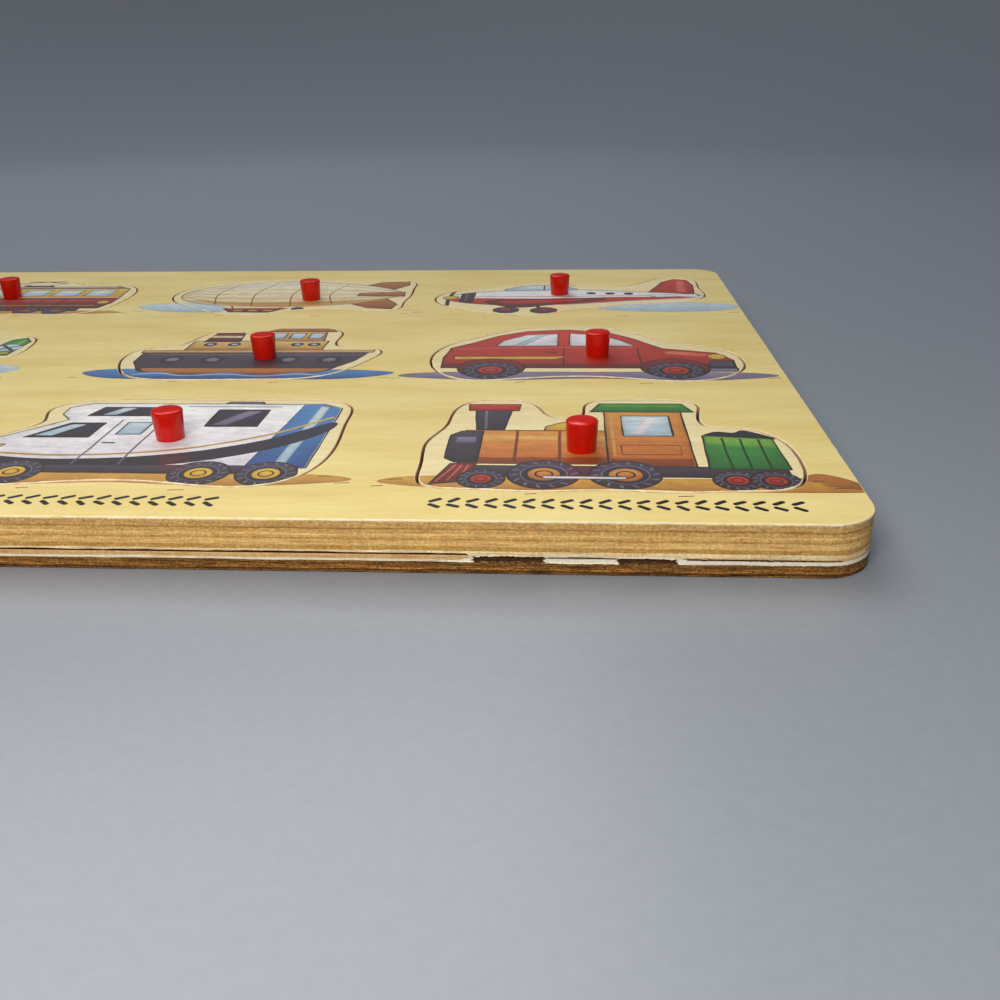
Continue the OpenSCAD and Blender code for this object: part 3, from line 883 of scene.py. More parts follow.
def printed_veneer():
    """Basswood veneer, rotary cut, screen printed and lacquered: pale yellow with short fine lines along the
    board and soft darker patches, inks a little uneven with the grain just showing, and a soft gloss."""
    looks = bpy.context.scene.puzzle_colours
    made, tree, shader, place = new_finish("basswood_veneer_printed_lacquered", Roughness=0.5, IOR=1.4,
                                           Coat_Weight=0.45, Coat_Roughness=0.14, Coat_IOR=1.46)
    patches = figure(tree, place, (55.0, 13.0, 20.0))
    lines = figure(tree, place, (8.0, 0.7, 4.0), 0.945, 1.04, detail=4.0, rough=0.6)
    flecks = figure(tree, place, (2.6, 0.5, 1.0), 0.9, 1.0, detail=2.0, rough=0.5, span=(0.28, 0.37))
    wood = toned(tree, looks.veneer, looks.veneer_shade, patches, flecks)
    ink = node(tree, "ShaderNodeAttribute", attribute_name="ink")
    wash = figure(tree, place, (4.5, 2.4, 9.0), 0.8, 1.16, detail=5.0, rough=0.7)
    brush = figure(tree, place, (8.0, 0.9, 4.0), 0.91, 1.09, detail=3.0, rough=0.6)
    body = node(tree, "ShaderNodeMath", {0: wash, 1: brush}, operation="MULTIPLY")
    laid = node(tree, "ShaderNodeVectorMath", {0: ink.outputs["Color"], "Scale": body}, operation="SCALE")
    cover = node(tree, "ShaderNodeMath", {0: ink.outputs["Alpha"], 1: INK_COVER}, operation="MULTIPLY")
    settle(tree, shader, toned(tree, wood, laid, cover, lines), lines, 0.03)
    return made


# Plies from the bottom up: the height where each ends in mm, its colour, whether its grain runs along the
# board, and how strong its streaks and specks are where that isn't the board's own strength
FRAME_PLIES = [(6.15, "#FFE6B2", True), (7.3, "#CFA45B", False), (8.95, "#EEC37B", True),
               (9.5, "#CFA35A", False), (10.1, "#E4B972", False), (10.65, "#F3CB85", True),
               (11.7, "#DDB26B", False), (12.05, "#B48A47", True), (13.75, "#D6AE6D", False),
               (14.2, "#F0D6A4", True)]
CUT_PLIES = [(5.95, "#D9BC96", True), (7.5, "#B4906A", False), (8.75, "#C6A37C", True),
             (10.65, "#BA9672", False), (11.65, "#BC966C", True), (13.75, "#D2AE86", False),
             (14.2, "#F2DCB8", True)]
BACKING_PLIES = [(0.55, "#8D693A", True), (1.1, "#6D4316", True), (1.65, "#AA783C", True),
                 (2.2, "#966831", True), (3.3, "#855D2B", True), (3.9, "#FFF8DE", True, 0.1),
                 (5.0, "#E2BA80", False, 0.2)]
# The strength of streaks and specks on the frame's edge, in the saw cuts and on the backing's edge
FRAME_CONTRAST, CUT_CONTRAST, BACKING_CONTRAST = 0.34, 0.14, 1.0
# How far in mm one ply runs into the next at each side of their joint
PLY_BLUR = 0.07


def sawn_plies(name, plies, low, high, contrast):
    """Plywood edge, sawn and sanded: plies in turn along and across the board, long grain in streaks and
    end grain in specks, both drawn coarser than life so that they show, with warmer patches and faint upright
    saw ticks; matt and thirsty. Torn spots and the glue in the gap bring their own tint, which is partly
    painted shade in the hollows and the gap."""
    made, tree, shader, place = new_finish(name, Roughness=0.72, IOR=1.45)
    height = node(tree, "ShaderNodeSeparateXYZ", {0: place})
    waver = figure(tree, place, (22.0, 22.0, 3.0), -0.17, 0.17, detail=4.0, rough=0.6)
    level = node(tree, "ShaderNodeMath", {0: height.outputs["Z"], 1: waver}, operation="ADD")
    share = node(tree, "ShaderNodeMapRange", {"Value": level, "From Min": low, "From Max": high})
    stops, lengthwise, start = [], [], low
    for end, code, along, *own in plies:
        stops += [((z - low) / (high - low), linear(code)) for z in (start + PLY_BLUR, end - PLY_BLUR)]
        strength = own[0] if own else contrast
        lengthwise.append(((start - low) / (high - low), (float(along), strength, 0.0, 1.0)))
        start = end
    ply = node(tree, "ShaderNodeValToRGB", {0: share}, stops)
    runs = node(tree, "ShaderNodeValToRGB", {0: share}, lengthwise)
    runs.color_ramp.interpolation = "CONSTANT"
    along, strength, _ = node(tree, "ShaderNodeSeparateColor", {0: runs.outputs["Color"]}).outputs
    fibres = [figure(tree, place, size, 0.0, 1.0, detail=4.0, rough=0.7)
              for size in ((0.8, 14.0, 0.5), (9.0, 0.8, 0.34))]
    grain = node(tree, "ShaderNodeMix", {0: along, 2: fibres[0], 3: fibres[1]})
    streaks = node(tree, "ShaderNodeMapRange", {"Value": grain, "To Min": -1.0})
    specks = figure(tree, place, (0.7, 0.7, 0.5), -1.0, 1.0, detail=4.0, rough=0.8)
    streaks, specks = (
        node(tree, "ShaderNodeMath", {0: swing, 1: strength, 2: 1.0}, operation="MULTIPLY_ADD")
        for swing in (streaks, specks))
    ticks = figure(tree, place, (0.9, 0.9, 14.0), 0.93, 1.07, detail=3.0, rough=0.6)
    worn = figure(tree, place, (34.0, 34.0, 5.0), 0.94, 1.05)
    warm = figure(tree, place, (7.0, 7.0, 1.1), 0.0, 0.5, detail=3.0, rough=0.6, span=(0.48, 0.7))
    wood = toned(tree, ply, linear("#DDB27E"), warm, streaks, specks, blend_type="MULTIPLY")
    # Tints of torn spots and of glue in the gap, partly painted shade in the hollows and the gap
    tear_glue_and_shade = node(tree, "ShaderNodeAttribute", attribute_name="ink")
    wood = toned(tree, wood, tear_glue_and_shade.outputs["Color"], tear_glue_and_shade.outputs["Alpha"], ticks, worn)
    settle(tree, shader, wood, grain, 0.12)
    return made


def pale_arris():
    """Basswood arris, sanded through the print: a thin bare cream line, fibrous, with lacquer left in
    places."""
    looks = bpy.context.scene.puzzle_colours
    made, tree, shader, place = new_finish("basswood_arris_sanded", Roughness=0.62, IOR=1.46)
    fibre = figure(tree, place, (1.4, 1.4, 0.4), 0.9, 1.04, detail=4.0, rough=0.65)
    lacquer = figure(tree, place, (3.2, 3.2, 3.2), 0.0, 1.0, detail=3.0, rough=0.6)
    settle(tree, shader, toned(tree, looks.arris, looks.veneer, lacquer, fibre), fibre, 0.06)
    return made


def torn_wood():
    """Basswood fibres, torn out and left rough: thin brown slivers from tan to dark, matt."""
    made, tree, shader, place = new_finish("basswood_fibre_torn", Roughness=0.8, IOR=1.45)
    tone = figure(tree, place, (1.1, 1.1, 0.6), 0.0, 1.0, detail=3.0, rough=0.7)
    settle(tree, shader, toned(tree, linear("#5E3E26"), linear("#B08A62"), tone), tone, 0.03)
    return made


def bare_veneer():
    """Basswood veneer, rotary cut and left bare: wider, duller figure than the lacquered face, matt."""
    looks = bpy.context.scene.puzzle_colours
    made, tree, shader, place = new_finish("basswood_veneer_rotary_cut_bare", Roughness=0.68, IOR=1.46)
    bands = figure(tree, place, (90.0, 11.0, 20.0), 0.0, 1.0, detail=4.0, rough=0.6)
    lines = figure(tree, place, (38.0, 0.7, 4.0), 0.86, 1.06, detail=5.0, rough=0.65)
    settle(tree, shader, toned(tree, looks.bare, looks.bare_shade, bands, lines), lines, 0.08)
    return made


def moulded_red():
    """ABS, injection moulded in a polished tool: saturated red, a crisp gloss with a hint of flow in it."""
    looks = bpy.context.scene.puzzle_colours
    made, tree, shader, place = new_finish("abs_injection_moulded_red", Roughness=0.18, IOR=1.42)
    flow = figure(tree, place, (2.4, 2.4, 5.0))
    skin = figure(tree, place, (0.7, 0.7, 0.7), 0.0, 1.0, detail=2.0)
    settle(tree, shader, toned(tree, looks.peg, looks.peg_shade, flow), skin, 0.004)
    return made


def printed_black():
    """Black ink, screen printed over the lacquer: nearly solid, thinner in spots, with the lacquer's
    gloss."""
    made, tree, shader, place = new_finish("black_ink_screen_printed", Roughness=0.5, IOR=1.4,
                                           Coat_Weight=0.25, Coat_Roughness=0.14)
    cover = figure(tree, place, (0.9, 0.6, 3.0), 0.0, 1.0, detail=3.0, rough=0.6)
    settle(tree, shader, toned(tree, linear("#0A0607"), linear("#1A1214"), cover), cover, 0.005)
    return made


def painted_floor():
    """Studio floor, satin painted: plain pale grey with the faintest roller texture."""
    looks = bpy.context.scene.puzzle_colours
    made, tree, shader, place = new_finish("studio_floor_satin_painted", Roughness=0.34, IOR=1.45)
    roller = figure(tree, place, (3.0, 3.0, 3.0))
    settle(tree, shader, toned(tree, looks.floor, looks.floor_shade, roller), roller, 0.01)
    return made


# The materials made so far, by maker and name
MADE = {}


def material(maker, *args):
    """The material that a maker gives, made once."""
    key = (maker.__name__, *args[:1])
    if key not in MADE:
        MADE[key] = maker(*args)
    return MADE[key]


def frame_finishes():
    """The frame board's finishes, in the order of PRINT, EDGE, ARRIS, PLAIN and CUT."""
    return [material(printed_veneer),
            material(sawn_plies, "plywood_edge_sawn_sanded", FRAME_PLIES, JOINT, TOP, FRAME_CONTRAST),
            material(pale_arris), material(bare_veneer),
            material(sawn_plies, "plywood_cut_scroll_sawn", CUT_PLIES, JOINT, TOP, CUT_CONTRAST)]


def size_setting(name, description, default):
    """A size of the puzzle, its default in millimetres."""
    return bpy.props.FloatProperty(name=name, description=description, default=default * MM, unit="LENGTH")


def colour_setting(name, description, default):
    """A colour of the puzzle, its default as a hex code."""
    return bpy.props.FloatVectorProperty(name=name, description=description, default=linear(default),
                                         size=4, min=0.0, max=1.0, subtype="COLOR")


class PuzzleSizes(bpy.types.PropertyGroup):
    """Sizes of the details that the board's makers leave on the wood."""

    arris: size_setting("Board arris", "Radius of the sanded edge round the printed face", 0.36)
    recess_arris: size_setting("Recess arris", "Radius of the bare edge round each recess", 0.15)
    piece_arris: size_setting("Piece arris", "Radius of the bare edge round each sawn piece", 0.24)
    slit: size_setting("Slit", "Height of the gap that shows between the two boards", 0.62)
    slit_depth: size_setting("Slit depth", "How far in the gap between the two boards goes", 1.0)
    peg_round: size_setting("Peg rounding", "Radius of the rounding round a peg's top", 0.65)
    peg_crown: size_setting("Peg crown", "Height by which a peg's top swells in its middle", 0.3)


class PuzzleColours(bpy.types.PropertyGroup):
    """Colours of the wood, the pegs and the stage."""

    veneer: colour_setting("Veneer", "Lacquered face veneer, light patches", "#F8E59B")
    veneer_shade: colour_setting("Veneer shade", "Lacquered face veneer, dark patches", "#ECD17F")
    arris: colour_setting("Arris", "Bare sanded edges", "#FFF4DE")
    bare: colour_setting("Bare veneer", "Unprinted veneer, light bands", "#DEC08A")
    bare_shade: colour_setting("Bare veneer shade", "Unprinted veneer, dark bands", "#C9A56C")
    peg: colour_setting("Peg", "Moulded pegs", "#DA1A06")
    peg_shade: colour_setting("Peg shade", "Moulded pegs where the melt flowed", "#CE1404")
    floor: colour_setting("Floor", "Studio floor", "#9298A2")
    floor_shade: colour_setting("Floor shade", "Studio floor where the roller left less paint", "#8E949E")


# The gap between the two boards, in mm: the reach of its slow and its quick waver with their shares of its
# height, its least height, how far its lips are eased where it is open and where the boards meet tight, and
# the front stretches where they do
SLIT_WAVER = ((24.0, 0.35), (3.0, 0.25))
SLIT_LEAST, SLIT_LIP, TIGHT_LIP = 0.05, 0.1, 0.02
TIGHT = [(103.0, 197.0)]
# How high the gap still is behind the frame board's lip and deep inside, as shares of its height
LIP_RISE, DEEP_RISE = 0.75, 0.5
# Glue in the gap, its dark tint also painted shade inside the gap, and how many of the backing board's first
# rings it covers
GLUE_AND_GAP_SHADE = linear("#5E3310")
GLUE_AND_SHADE_RINGS = 2


def slit_at(points):
    """Height of the gap between the two boards at each point of their edge."""
    heights = ragged(points, bpy.context.scene.puzzle_sizes.slit / MM, SLIT_WAVER)
    tight = [y < BOARD_LOW.y + CORNER_R and any(a < x < b for a, b in TIGHT) for x, y in points]
    return np.where(tight, SLIT_LEAST, np.maximum(heights, SLIT_LEAST))


class PUZZLE_OT_frame_board(bpy.types.Operator):
    """Makes the printed frame board with its nine sawn recesses"""

    bl_idname = "puzzle.frame_board"
    bl_label = "Frame board"

    def execute(self, context):
        sizes = context.scene.puzzle_sizes
        edge, saw, deep = sizes.arris / MM, sizes.recess_arris / MM, sizes.slit_depth / MM
        outer = board_outline(lambda x, y: SIDE_STEP)
        recesses = [rounded(loop, OUTLINE_STEPS) for loop in cad_loops("frame_board", TOP)[1:]]
        loops = [grown(outer, -ragged(outer, edge, MACHINED))]
        loops += [grown(loop, ragged(loop, saw)) for loop in recesses]
        shell, rings = Shell(), []
        for rim in shell.sheet(loops, [drawn(name, motif=False) for name in VEHICLES], TOP):
            points = shell.rim_points(rim)
            sawn = min([outer] + recesses, key=lambda loop: way_to(loop, points[:1])[1][0])
            away, out = way_to(sawn, points)
            steps = arris(out, TOP, ARRIS)
            if sawn is outer:
                gap = slit_at(points)
                # The gap's inner faces take the dark glue tint, which also paints the shade inside the gap
                steps += [(out, TOP - UNDER_ARRIS, EDGE), (out, JOINT + gap + SLIT_LIP, EDGE),
                          (out, JOINT + gap, EDGE), (out - SLIT_LIP, JOINT + LIP_RISE * gap, EDGE, GLUE_AND_GAP_SHADE),
                          (out - deep, JOINT + DEEP_RISE * gap, EDGE, GLUE_AND_GAP_SHADE), (out - deep, JOINT, EDGE, GLUE_AND_GAP_SHADE)]
            else:
                steps += [(out, TOP - UNDER_ARRIS, CUT), (out, JOINT, CUT)]
            rings.append(shell.skirt(rim, away, steps))
        shell.tints.clear()
        shell.close(rings, PLAIN)
        piece = shell.piece("frame_board_printed", frame_finishes())
        dressed(piece, BOARD, "printed_ply", "frame_board")
        return {"FINISHED"}


# The torn stretch of the backing board's front edge. Each part, in mm: where it starts and ends along the
# board, the height of its foot, the heights of its head at its start, middle and end, its depth, and its tint
# Tints of the tear: pale fresh fibre, and dark torn wood that is darkened further as painted shade inside the
# hollows and thin splits
TORN_PALE, TORN_DARK_AND_SHADE = linear("#FFF6E2"), linear("#553721")
TEAR = [
    (103.2, 154.2, 4.5, (5.1, 5.1, 5.1), 0.0, TORN_PALE),
    (154.0, 260.0, 3.45, (4.35, 4.4, 4.4), 0.0, TORN_PALE),
    (154.8, 191.0, 4.42, (4.68, 4.74, 4.6), 0.8, TORN_DARK_AND_SHADE),
    (96.0, 104.6, 3.35, (3.5, 3.95, 4.9), 0.15, TORN_PALE),
    (120.6, 139.2, 3.2, (4.4, 4.58, 4.4), 0.22, TORN_PALE),
    (121.0, 138.8, 4.56, (4.64, 4.84, 4.68), 0.7, TORN_DARK_AND_SHADE),
    (152.0, 155.2, 3.35, (4.85, 4.7, 4.3), 0.15, TORN_PALE),
    (104.0, 121.2, 3.25, (4.62, 4.84, 4.66), 0.8, TORN_DARK_AND_SHADE),
    (138.6, 152.6, 3.25, (4.56, 4.64, 4.46), 0.75, TORN_DARK_AND_SHADE),
]
# How finely the edge is split, in mm: steps along the tear and elsewhere, and rows down to the tear's foot
TEAR_STEP, PLAIN_STEP, TEAR_ROW, TEAR_FOOT = 0.2, 4.0, 0.1, 2.6
# How ragged a part's ends and its head are, in mm, and how uneven its depth is, as a share; each with the
# reach in mm of its unevenness
RAGGED_END, RAGGED_HEAD, RAGGED_DEPTH = (0.7, 0.4), (0.2, 0.8), (0.5, (0.9, 0.35))
# Slices of the noise, so that the three don't repeat each other
END_SLICE, HEAD_SLICE, DEPTH_SLICE = 0.5, 3.5, 9.0
# A dark part whose foot lies lower than this is a hollow with fibres at its foot; the others are thin splits
HOLLOW_FOOT = 4.0
# Where along the front edge the finely split stretch starts, in mm, and how far behind the edge's face the
# fibres are rooted
TORN_FROM = 94.0
FIBRE_SINK = 0.05
# Where the pale band of the tear fades out along the board's right side, in mm
FADE_FROM, FADE_TO = -120.0, -70.0
# The eased lower edge of the backing board, in mm: each ring's move inwards and its level
FOOT_RINGS = [(0.0, 0.35), (0.1, 0.1), (0.3, 0.0)]


def torn(x, y, z):
    """Depth in mm of the torn front edge at a point, and its tint."""
    fade = min(max((FADE_TO - y) / (FADE_TO - FADE_FROM), 0.0), 1.0)
    found = 0.0, BARE
    for start, end, foot, (a, b, c), depth, tint in TEAR:
        stray = RAGGED_END[0] * noise.noise((z / RAGGED_END[1], start, END_SLICE))
        share = (x + stray - start) / (end - start)
        if not 0 <= share <= 1:
            continue
        # The parabola through the three heights
        head = a * (1 - share) * (1 - 2 * share) + 4 * b * share * (1 - share) + c * share * (2 * share - 1)
        swing = RAGGED_HEAD[0] * min(head - foot, 1.0)
        level = z + swing * noise.noise((x / RAGGED_HEAD[1], start, HEAD_SLICE))
        if foot - TEAR_ROW <= level <= head:
            uneven, (across, up) = RAGGED_DEPTH
            rough = 1 + uneven * noise.noise((x / across, z / up, DEPTH_SLICE))
            found = depth * rough * (level >= foot), (*tint[:3], fade)
    return found


class PUZZLE_OT_backing_board(bpy.types.Operator):
    """Makes the backing board with the torn veneer along its front edge"""

    bl_idname = "puzzle.backing_board"
    bl_label = "Backing board"

    def execute(self, context):
        deep = context.scene.puzzle_sizes.slit_depth / MM

        def step(x, y):
            return TEAR_STEP if y < 0 and x > TORN_FROM else PLAIN_STEP

        points = np.array(board_outline(step))
        core = np.array(BOARD_HIGH.xy) - CORNER_R
        away = (points - np.clip(points, -core, core)) / CORNER_R
        lip = np.where(slit_at(points) > SLIT_LEAST, SLIT_LIP, TIGHT_LIP)
        levels = [(deep, JOINT), (lip + SLIT_LIP, JOINT), (lip, JOINT)]
        levels += [(0.0, z) for z in np.arange(JOINT - TEAR_ROW, TEAR_FOOT, -TEAR_ROW)]
        levels += FOOT_RINGS
        shell, rings = Shell(), []
        for k, (inset, z) in enumerate(levels):
            found = [torn(x, y, z) for x, y in points]
            ring = shell.ring(points, away, -inset - np.array([depth for depth, _ in found]), z)
            # The first rings, the gap's floor, take the dark glue tint, which also paints the gap's shade;
            # the rest take the tear's tints
            shell.tints.update({i: GLUE_AND_GAP_SHADE if k < GLUE_AND_SHADE_RINGS else tint for i, (_, tint) in zip(ring, found)})
            rings.append(ring)
        for upper, lower in zip(rings, rings[1:]):
            shell.band(upper, lower, EDGE)
        shell.tints.clear()
        shell.close(rings[:1], PLAIN, up=True)
        shell.close(rings[-1:], PLAIN)
        finishes = frame_finishes()
        finishes[EDGE] = material(
            sawn_plies, "backing_plywood_edge_sawn", BACKING_PLIES, 0.0, JOINT, BACKING_CONTRAST)
        piece = shell.piece("backing_board_torn_edge", finishes)
        dressed(piece, BOARD, "backing_ply", "backing_board")
        return {"FINISHED"}


# A sawn piece, in mm: how far its lower edge is eased, and how far its blind hole goes on below the stem
FOOT_EASE, BORE_SPARE = 0.2, 0.1


class PUZZLE_OT_sawn_pieces(bpy.types.Operator):
    """Makes the nine printed pieces, each with its blind hole for a peg"""

    bl_idname = "puzzle.sawn_pieces"
    bl_label = "Sawn pieces"

    def execute(self, context):
        saw = context.scene.puzzle_sizes.piece_arris / MM
        for name in VEHICLES:
            outline, bore = cad_loops(name + "_piece", TOP)
            outline = rounded(outline, OUTLINE_STEPS)
            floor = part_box(name + "_peg")[0].z / MM - BORE_SPARE
            shell = Shell()
            loops = [grown(outline, -ragged(outline, saw)), bore]
            rim, hole = sorted(shell.sheet(loops, [drawn(name)], TOP, HALO), key=len, reverse=True)
            away, out = way_to(outline, shell.rim_points(rim))
            foot = shell.skirt(rim, away, arris(out, TOP, ARRIS) + [
                (out, TOP - UNDER_ARRIS, CUT), (out, JOINT + 2 * FOOT_EASE, CUT),
                (out, JOINT + FOOT_EASE, CUT), (out - FOOT_EASE, JOINT, CUT)])
            shell.close([foot], PLAIN)
            shell.close([shell.skirt(hole, np.zeros((len(hole), 2)), [(0.0, floor, CUT)])], PLAIN, up=True)
            piece = shell.piece(name + "_piece_printed", frame_finishes())
            dressed(piece, name, "printed_ply", name + "_piece")
        return {"FINISHED"}


def geometry_tree(name, inputs):
    """A geometry tree with named inputs, and its group input node."""
    tree = bpy.data.node_groups.new(name, "GeometryNodeTree")
    for label, kind in inputs.items():
        tree.interface.new_socket(label, in_out="INPUT", socket_type="NodeSocket" + kind)
    tree.interface.new_socket("Geometry", in_out="OUTPUT", socket_type="NodeSocketGeometry")
    return tree, node(tree, "NodeGroupInput").outputs


def from_tree(name, tree, start=None, **values):
    """A plain mesh object of what a geometry tree makes from those inputs, and from a mesh where it starts
    from one."""
    made = placed(name, start or bpy.data.meshes.new(name))
    growth = made.modifiers.new(tree.name, "NODES")
    growth.node_group = tree
    for item in tree.interface.items_tree:
        if item.in_out == "INPUT" and item.socket_type != "NodeSocketGeometry":
            growth[item.identifier] = values[item.name.replace(" ", "_").lower()]
    evaluated = made.evaluated_get(bpy.context.evaluated_depsgraph_get())
    mesh = bpy.data.meshes.new_from_object(evaluated)
    made.modifiers.remove(growth)
    made.data = mesh
    mesh.name = name
    return made


# A turned peg: sides round it, steps round each corner of its profile, and the radii in mm at the stem's
# foot, at the knob's foot and on the crown
PEG_SIDES, PEG_STEPS = 56, 7
STEM_ROUND, KNOB_ROUND, CROWN_ROUND = 0.3, 0.15, 4.0
# Where the crown's profile turns: share of the top's radius, and of the crown's height
CROWN_MID, CROWN_SWELL = 0.55, 0.72


def peg_tree():
    """Turns a peg: a profile from the stem's foot up to the crown, rounded at its corners, swept round."""
    tree, sizes = geometry_tree("turned_peg", {
        "Stem Radius": "Float", "Stem Depth": "Float", "Foot Radius": "Float", "Top Radius": "Float",
        "Height": "Float", "Rounding": "Float", "Crown": "Float", "Place": "Vector", "Sides": "Int",
        "Material": "Material"})
    shoulder = node(tree, "ShaderNodeMath", {0: sizes["Height"], 1: sizes["Crown"]}, operation="SUBTRACT")
    mid = node(tree, "ShaderNodeMath", {0: sizes["Top Radius"], 1: CROWN_MID}, operation="MULTIPLY")
    swell = node(tree, "ShaderNodeMath", {0: sizes["Crown"], 1: CROWN_SWELL, 2: shoulder},
                 operation="MULTIPLY_ADD")
    below = node(tree, "ShaderNodeMath", {0: sizes["Stem Depth"], 1: -1.0}, operation="MULTIPLY")
    corners = [(0.0, below, 0.0), (sizes["Stem Radius"], below, STEM_ROUND * MM),
               (sizes["Stem Radius"], 0.0, 0.0), (sizes["Foot Radius"], 0.0, KNOB_ROUND * MM),
               (sizes["Top Radius"], shoulder, sizes["Rounding"]), (mid, swell, CROWN_ROUND * MM),
               (0.0, sizes["Height"], 0.0)]
    spots = node(tree, "GeometryNodeIndexSwitch", data_type="VECTOR")
    rounds = node(tree, "GeometryNodeIndexSwitch", data_type="FLOAT")
    for chooser in (spots, rounds):
        while len(chooser.index_switch_items) < len(corners):
            chooser.index_switch_items.new()
        feed(tree, chooser.inputs[0], node(tree, "GeometryNodeInputIndex"))
    for i, (x, y, radius) in enumerate(corners):
        feed(tree, spots.inputs[i + 1], node(tree, "ShaderNodeCombineXYZ", {"X": x, "Y": y}))
        feed(tree, rounds.inputs[i + 1], radius)
    line = node(tree, "GeometryNodeMeshLine", {"Count": len(corners)})
    line = node(tree, "GeometryNodeSetPosition", {"Geometry": line, "Position": spots})
    line = node(tree, "GeometryNodeMeshToCurve", {"Mesh": line})
    line = node(tree, "GeometryNodeFilletCurve", {"Curve": line, "Radius": rounds, "Limit Radius": True,
                                                  "Count": PEG_STEPS}, mode="POLY")
    # A ring of next to no size carries the profile round and the merge closes the poles. The sweep leaves the
    # peg on its head, so it is turned over
    axis = node(tree, "GeometryNodeCurvePrimitiveCircle", {"Resolution": sizes["Sides"], "Radius": SAME})
    skin = node(tree, "GeometryNodeCurveToMesh", {"Curve": axis, "Profile Curve": line})
    skin = node(tree, "GeometryNodeMergeByDistance", {"Geometry": skin, "Distance": 10 * SAME})
    skin = node(tree, "GeometryNodeTransform", {"Geometry": skin, "Translation": sizes["Place"],
                                                "Rotation": (math.pi, 0.0, 0.0)})
    skin = node(tree, "GeometryNodeRealizeInstances", {"Geometry": skin})
    skin = node(tree, "GeometryNodeSetMaterial", {"Geometry": skin, "Material": sizes["Material"]})
    node(tree, "NodeGroupOutput", {0: skin})
    return tree


def outward(mesh):
    """Turns a mesh's faces outwards and shades its curves smooth, its corners sharp."""
    work = bmesh.new()
    work.from_mesh(mesh)
    bmesh.ops.recalc_face_normals(work, faces=work.faces)
    work.to_mesh(mesh)
    work.free()
    mesh.shade_smooth()
    mesh.set_sharp_from_angle(angle=SHARP_GROWN)


class PUZZLE_OT_moulded_pegs(bpy.types.Operator):
    """Turns the nine red pegs and sets each in its piece"""

    bl_idname = "puzzle.moulded_pegs"
    bl_label = "Moulded pegs"

    def execute(self, context):
        sizes = context.scene.puzzle_sizes
        tree = peg_tree()
        for name in VEHICLES:
            low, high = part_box(name + "_peg")
            centre = (low + high) / 2
            corners = [v.co for v in frame["nodes"][name + "_peg"].data.vertices]
            reach = {"stem": 0.0, "foot": 0.0}
            for co in corners:
                if abs(co.z - TOP * MM) < SAME:
                    reach["foot"] = max(reach["foot"], (co.xy - centre.xy).length)
                elif co.z < TOP * MM:
                    reach["stem"] = max(reach["stem"], (co.xy - centre.xy).length)
            piece = from_tree(
                name + "_peg_moulded", tree, stem_radius=reach["stem"], stem_depth=TOP * MM - low.z,
                foot_radius=reach["foot"], top_radius=(high - low).x / 2, height=high.z - TOP * MM,
                rounding=sizes.peg_round, crown=sizes.peg_crown, place=(centre.x, centre.y, TOP * MM),
                sides=PEG_SIDES, material=material(moulded_red))
            outward(piece.data)
            dressed(piece, name, "red_plastic", name + "_peg")
        return {"FINISHED"}


# Rounding at the ends of a track's bars as a share of their width, its steps, and how far their slant strays,
# in radians
BAR_ROUND, BAR_STEPS, SLANT_STRAY = 0.42, 4, 0.16


def track_tree():
    """Prints a tyre track: two rows of short bars along a line, slanting opposite ways, a little uneven."""
    tree, sizes = geometry_tree("tyre_track", {
        "First": "Vector", "Last": "Vector", "Spacing": "Float", "Bar Length": "Float", "Bar Width": "Float",
        "Row Gap": "Float", "Slant": "Float", "Waver": "Float", "Sheet": "Float", "Seed": "Int",
        "Material": "Material"})
    path = node(tree, "GeometryNodeCurvePrimitiveLine", {"Start": sizes["First"], "End": sizes["Last"]})
    path = node(tree, "GeometryNodeResampleCurve", {"Curve": path, "Length": sizes["Spacing"]}, mode="LENGTH")
    outline = node(tree, "GeometryNodeCurvePrimitiveQuadrilateral", {
        "Width": sizes["Bar Length"], "Height": sizes["Bar Width"]})
    end = node(tree, "ShaderNodeMath", {0: sizes["Bar Width"], 1: BAR_ROUND}, operation="MULTIPLY")
    bar = node(tree, "GeometryNodeFilletCurve", {"Curve": outline, "Radius": end, "Count": BAR_STEPS},
               mode="POLY")
    bar = node(tree, "GeometryNodeFillCurve", {"Curve": bar})
    bar = node(tree, "GeometryNodeExtrudeMesh", {"Mesh": bar, "Offset Scale": sizes["Sheet"],
                                                 "Individual": False})
    rows = []
    for side in (1.0, -1.0):
        turn = node(tree, "ShaderNodeMath", {0: sizes["Slant"], 1: side}, operation="MULTIPLY")
        stray = node(tree, "FunctionNodeRandomValue", {
            2: -SLANT_STRAY, 3: SLANT_STRAY, "Seed": sizes["Seed"],
            "ID": node(tree, "GeometryNodeInputIndex")}, data_type="FLOAT")
        lean = node(tree, "ShaderNodeMath", {0: turn, 1: stray}, operation="ADD")
        spin = node(tree, "ShaderNodeCombineXYZ", {"Z": lean})
        off = node(tree, "ShaderNodeMath", {0: sizes["Row Gap"], 1: side * 0.5}, operation="MULTIPLY")
        jolt = node(tree, "FunctionNodeRandomValue", {2: -1.0, 3: 1.0, "Seed": sizes["Seed"]},
                    data_type="FLOAT")
        jolt = node(tree, "ShaderNodeMath", {0: jolt, 1: sizes["Waver"], 2: off}, operation="MULTIPLY_ADD")
        shift = node(tree, "ShaderNodeCombineXYZ", {"Y": jolt})
        dots = node(tree, "GeometryNodeSetPosition", {"Geometry": path, "Offset": shift})
        rows.append(node(tree, "GeometryNodeInstanceOnPoints", {
            "Points": dots, "Instance": bar, "Rotation": spin}))
    both = node(tree, "GeometryNodeJoinGeometry")
    for row in rows:
        feed(tree, both.inputs[0], row)
    marks = node(tree, "GeometryNodeRealizeInstances", {"Geometry": both})
    marks = node(tree, "GeometryNodeSetMaterial", {"Geometry": marks, "Material": sizes["Material"]})
    node(tree, "NodeGroupOutput", {0: marks})
    return tree


# A torn fibre: its sides, its tip as a share of its thickness, and its least and most growth across and along
FIBRE_SIDES, FIBRE_TIP = 5, 0.08
FIBRE_LEAST, FIBRE_MOST = (0.5, 0.5, 0.25), (1.3, 1.3, 1.0)


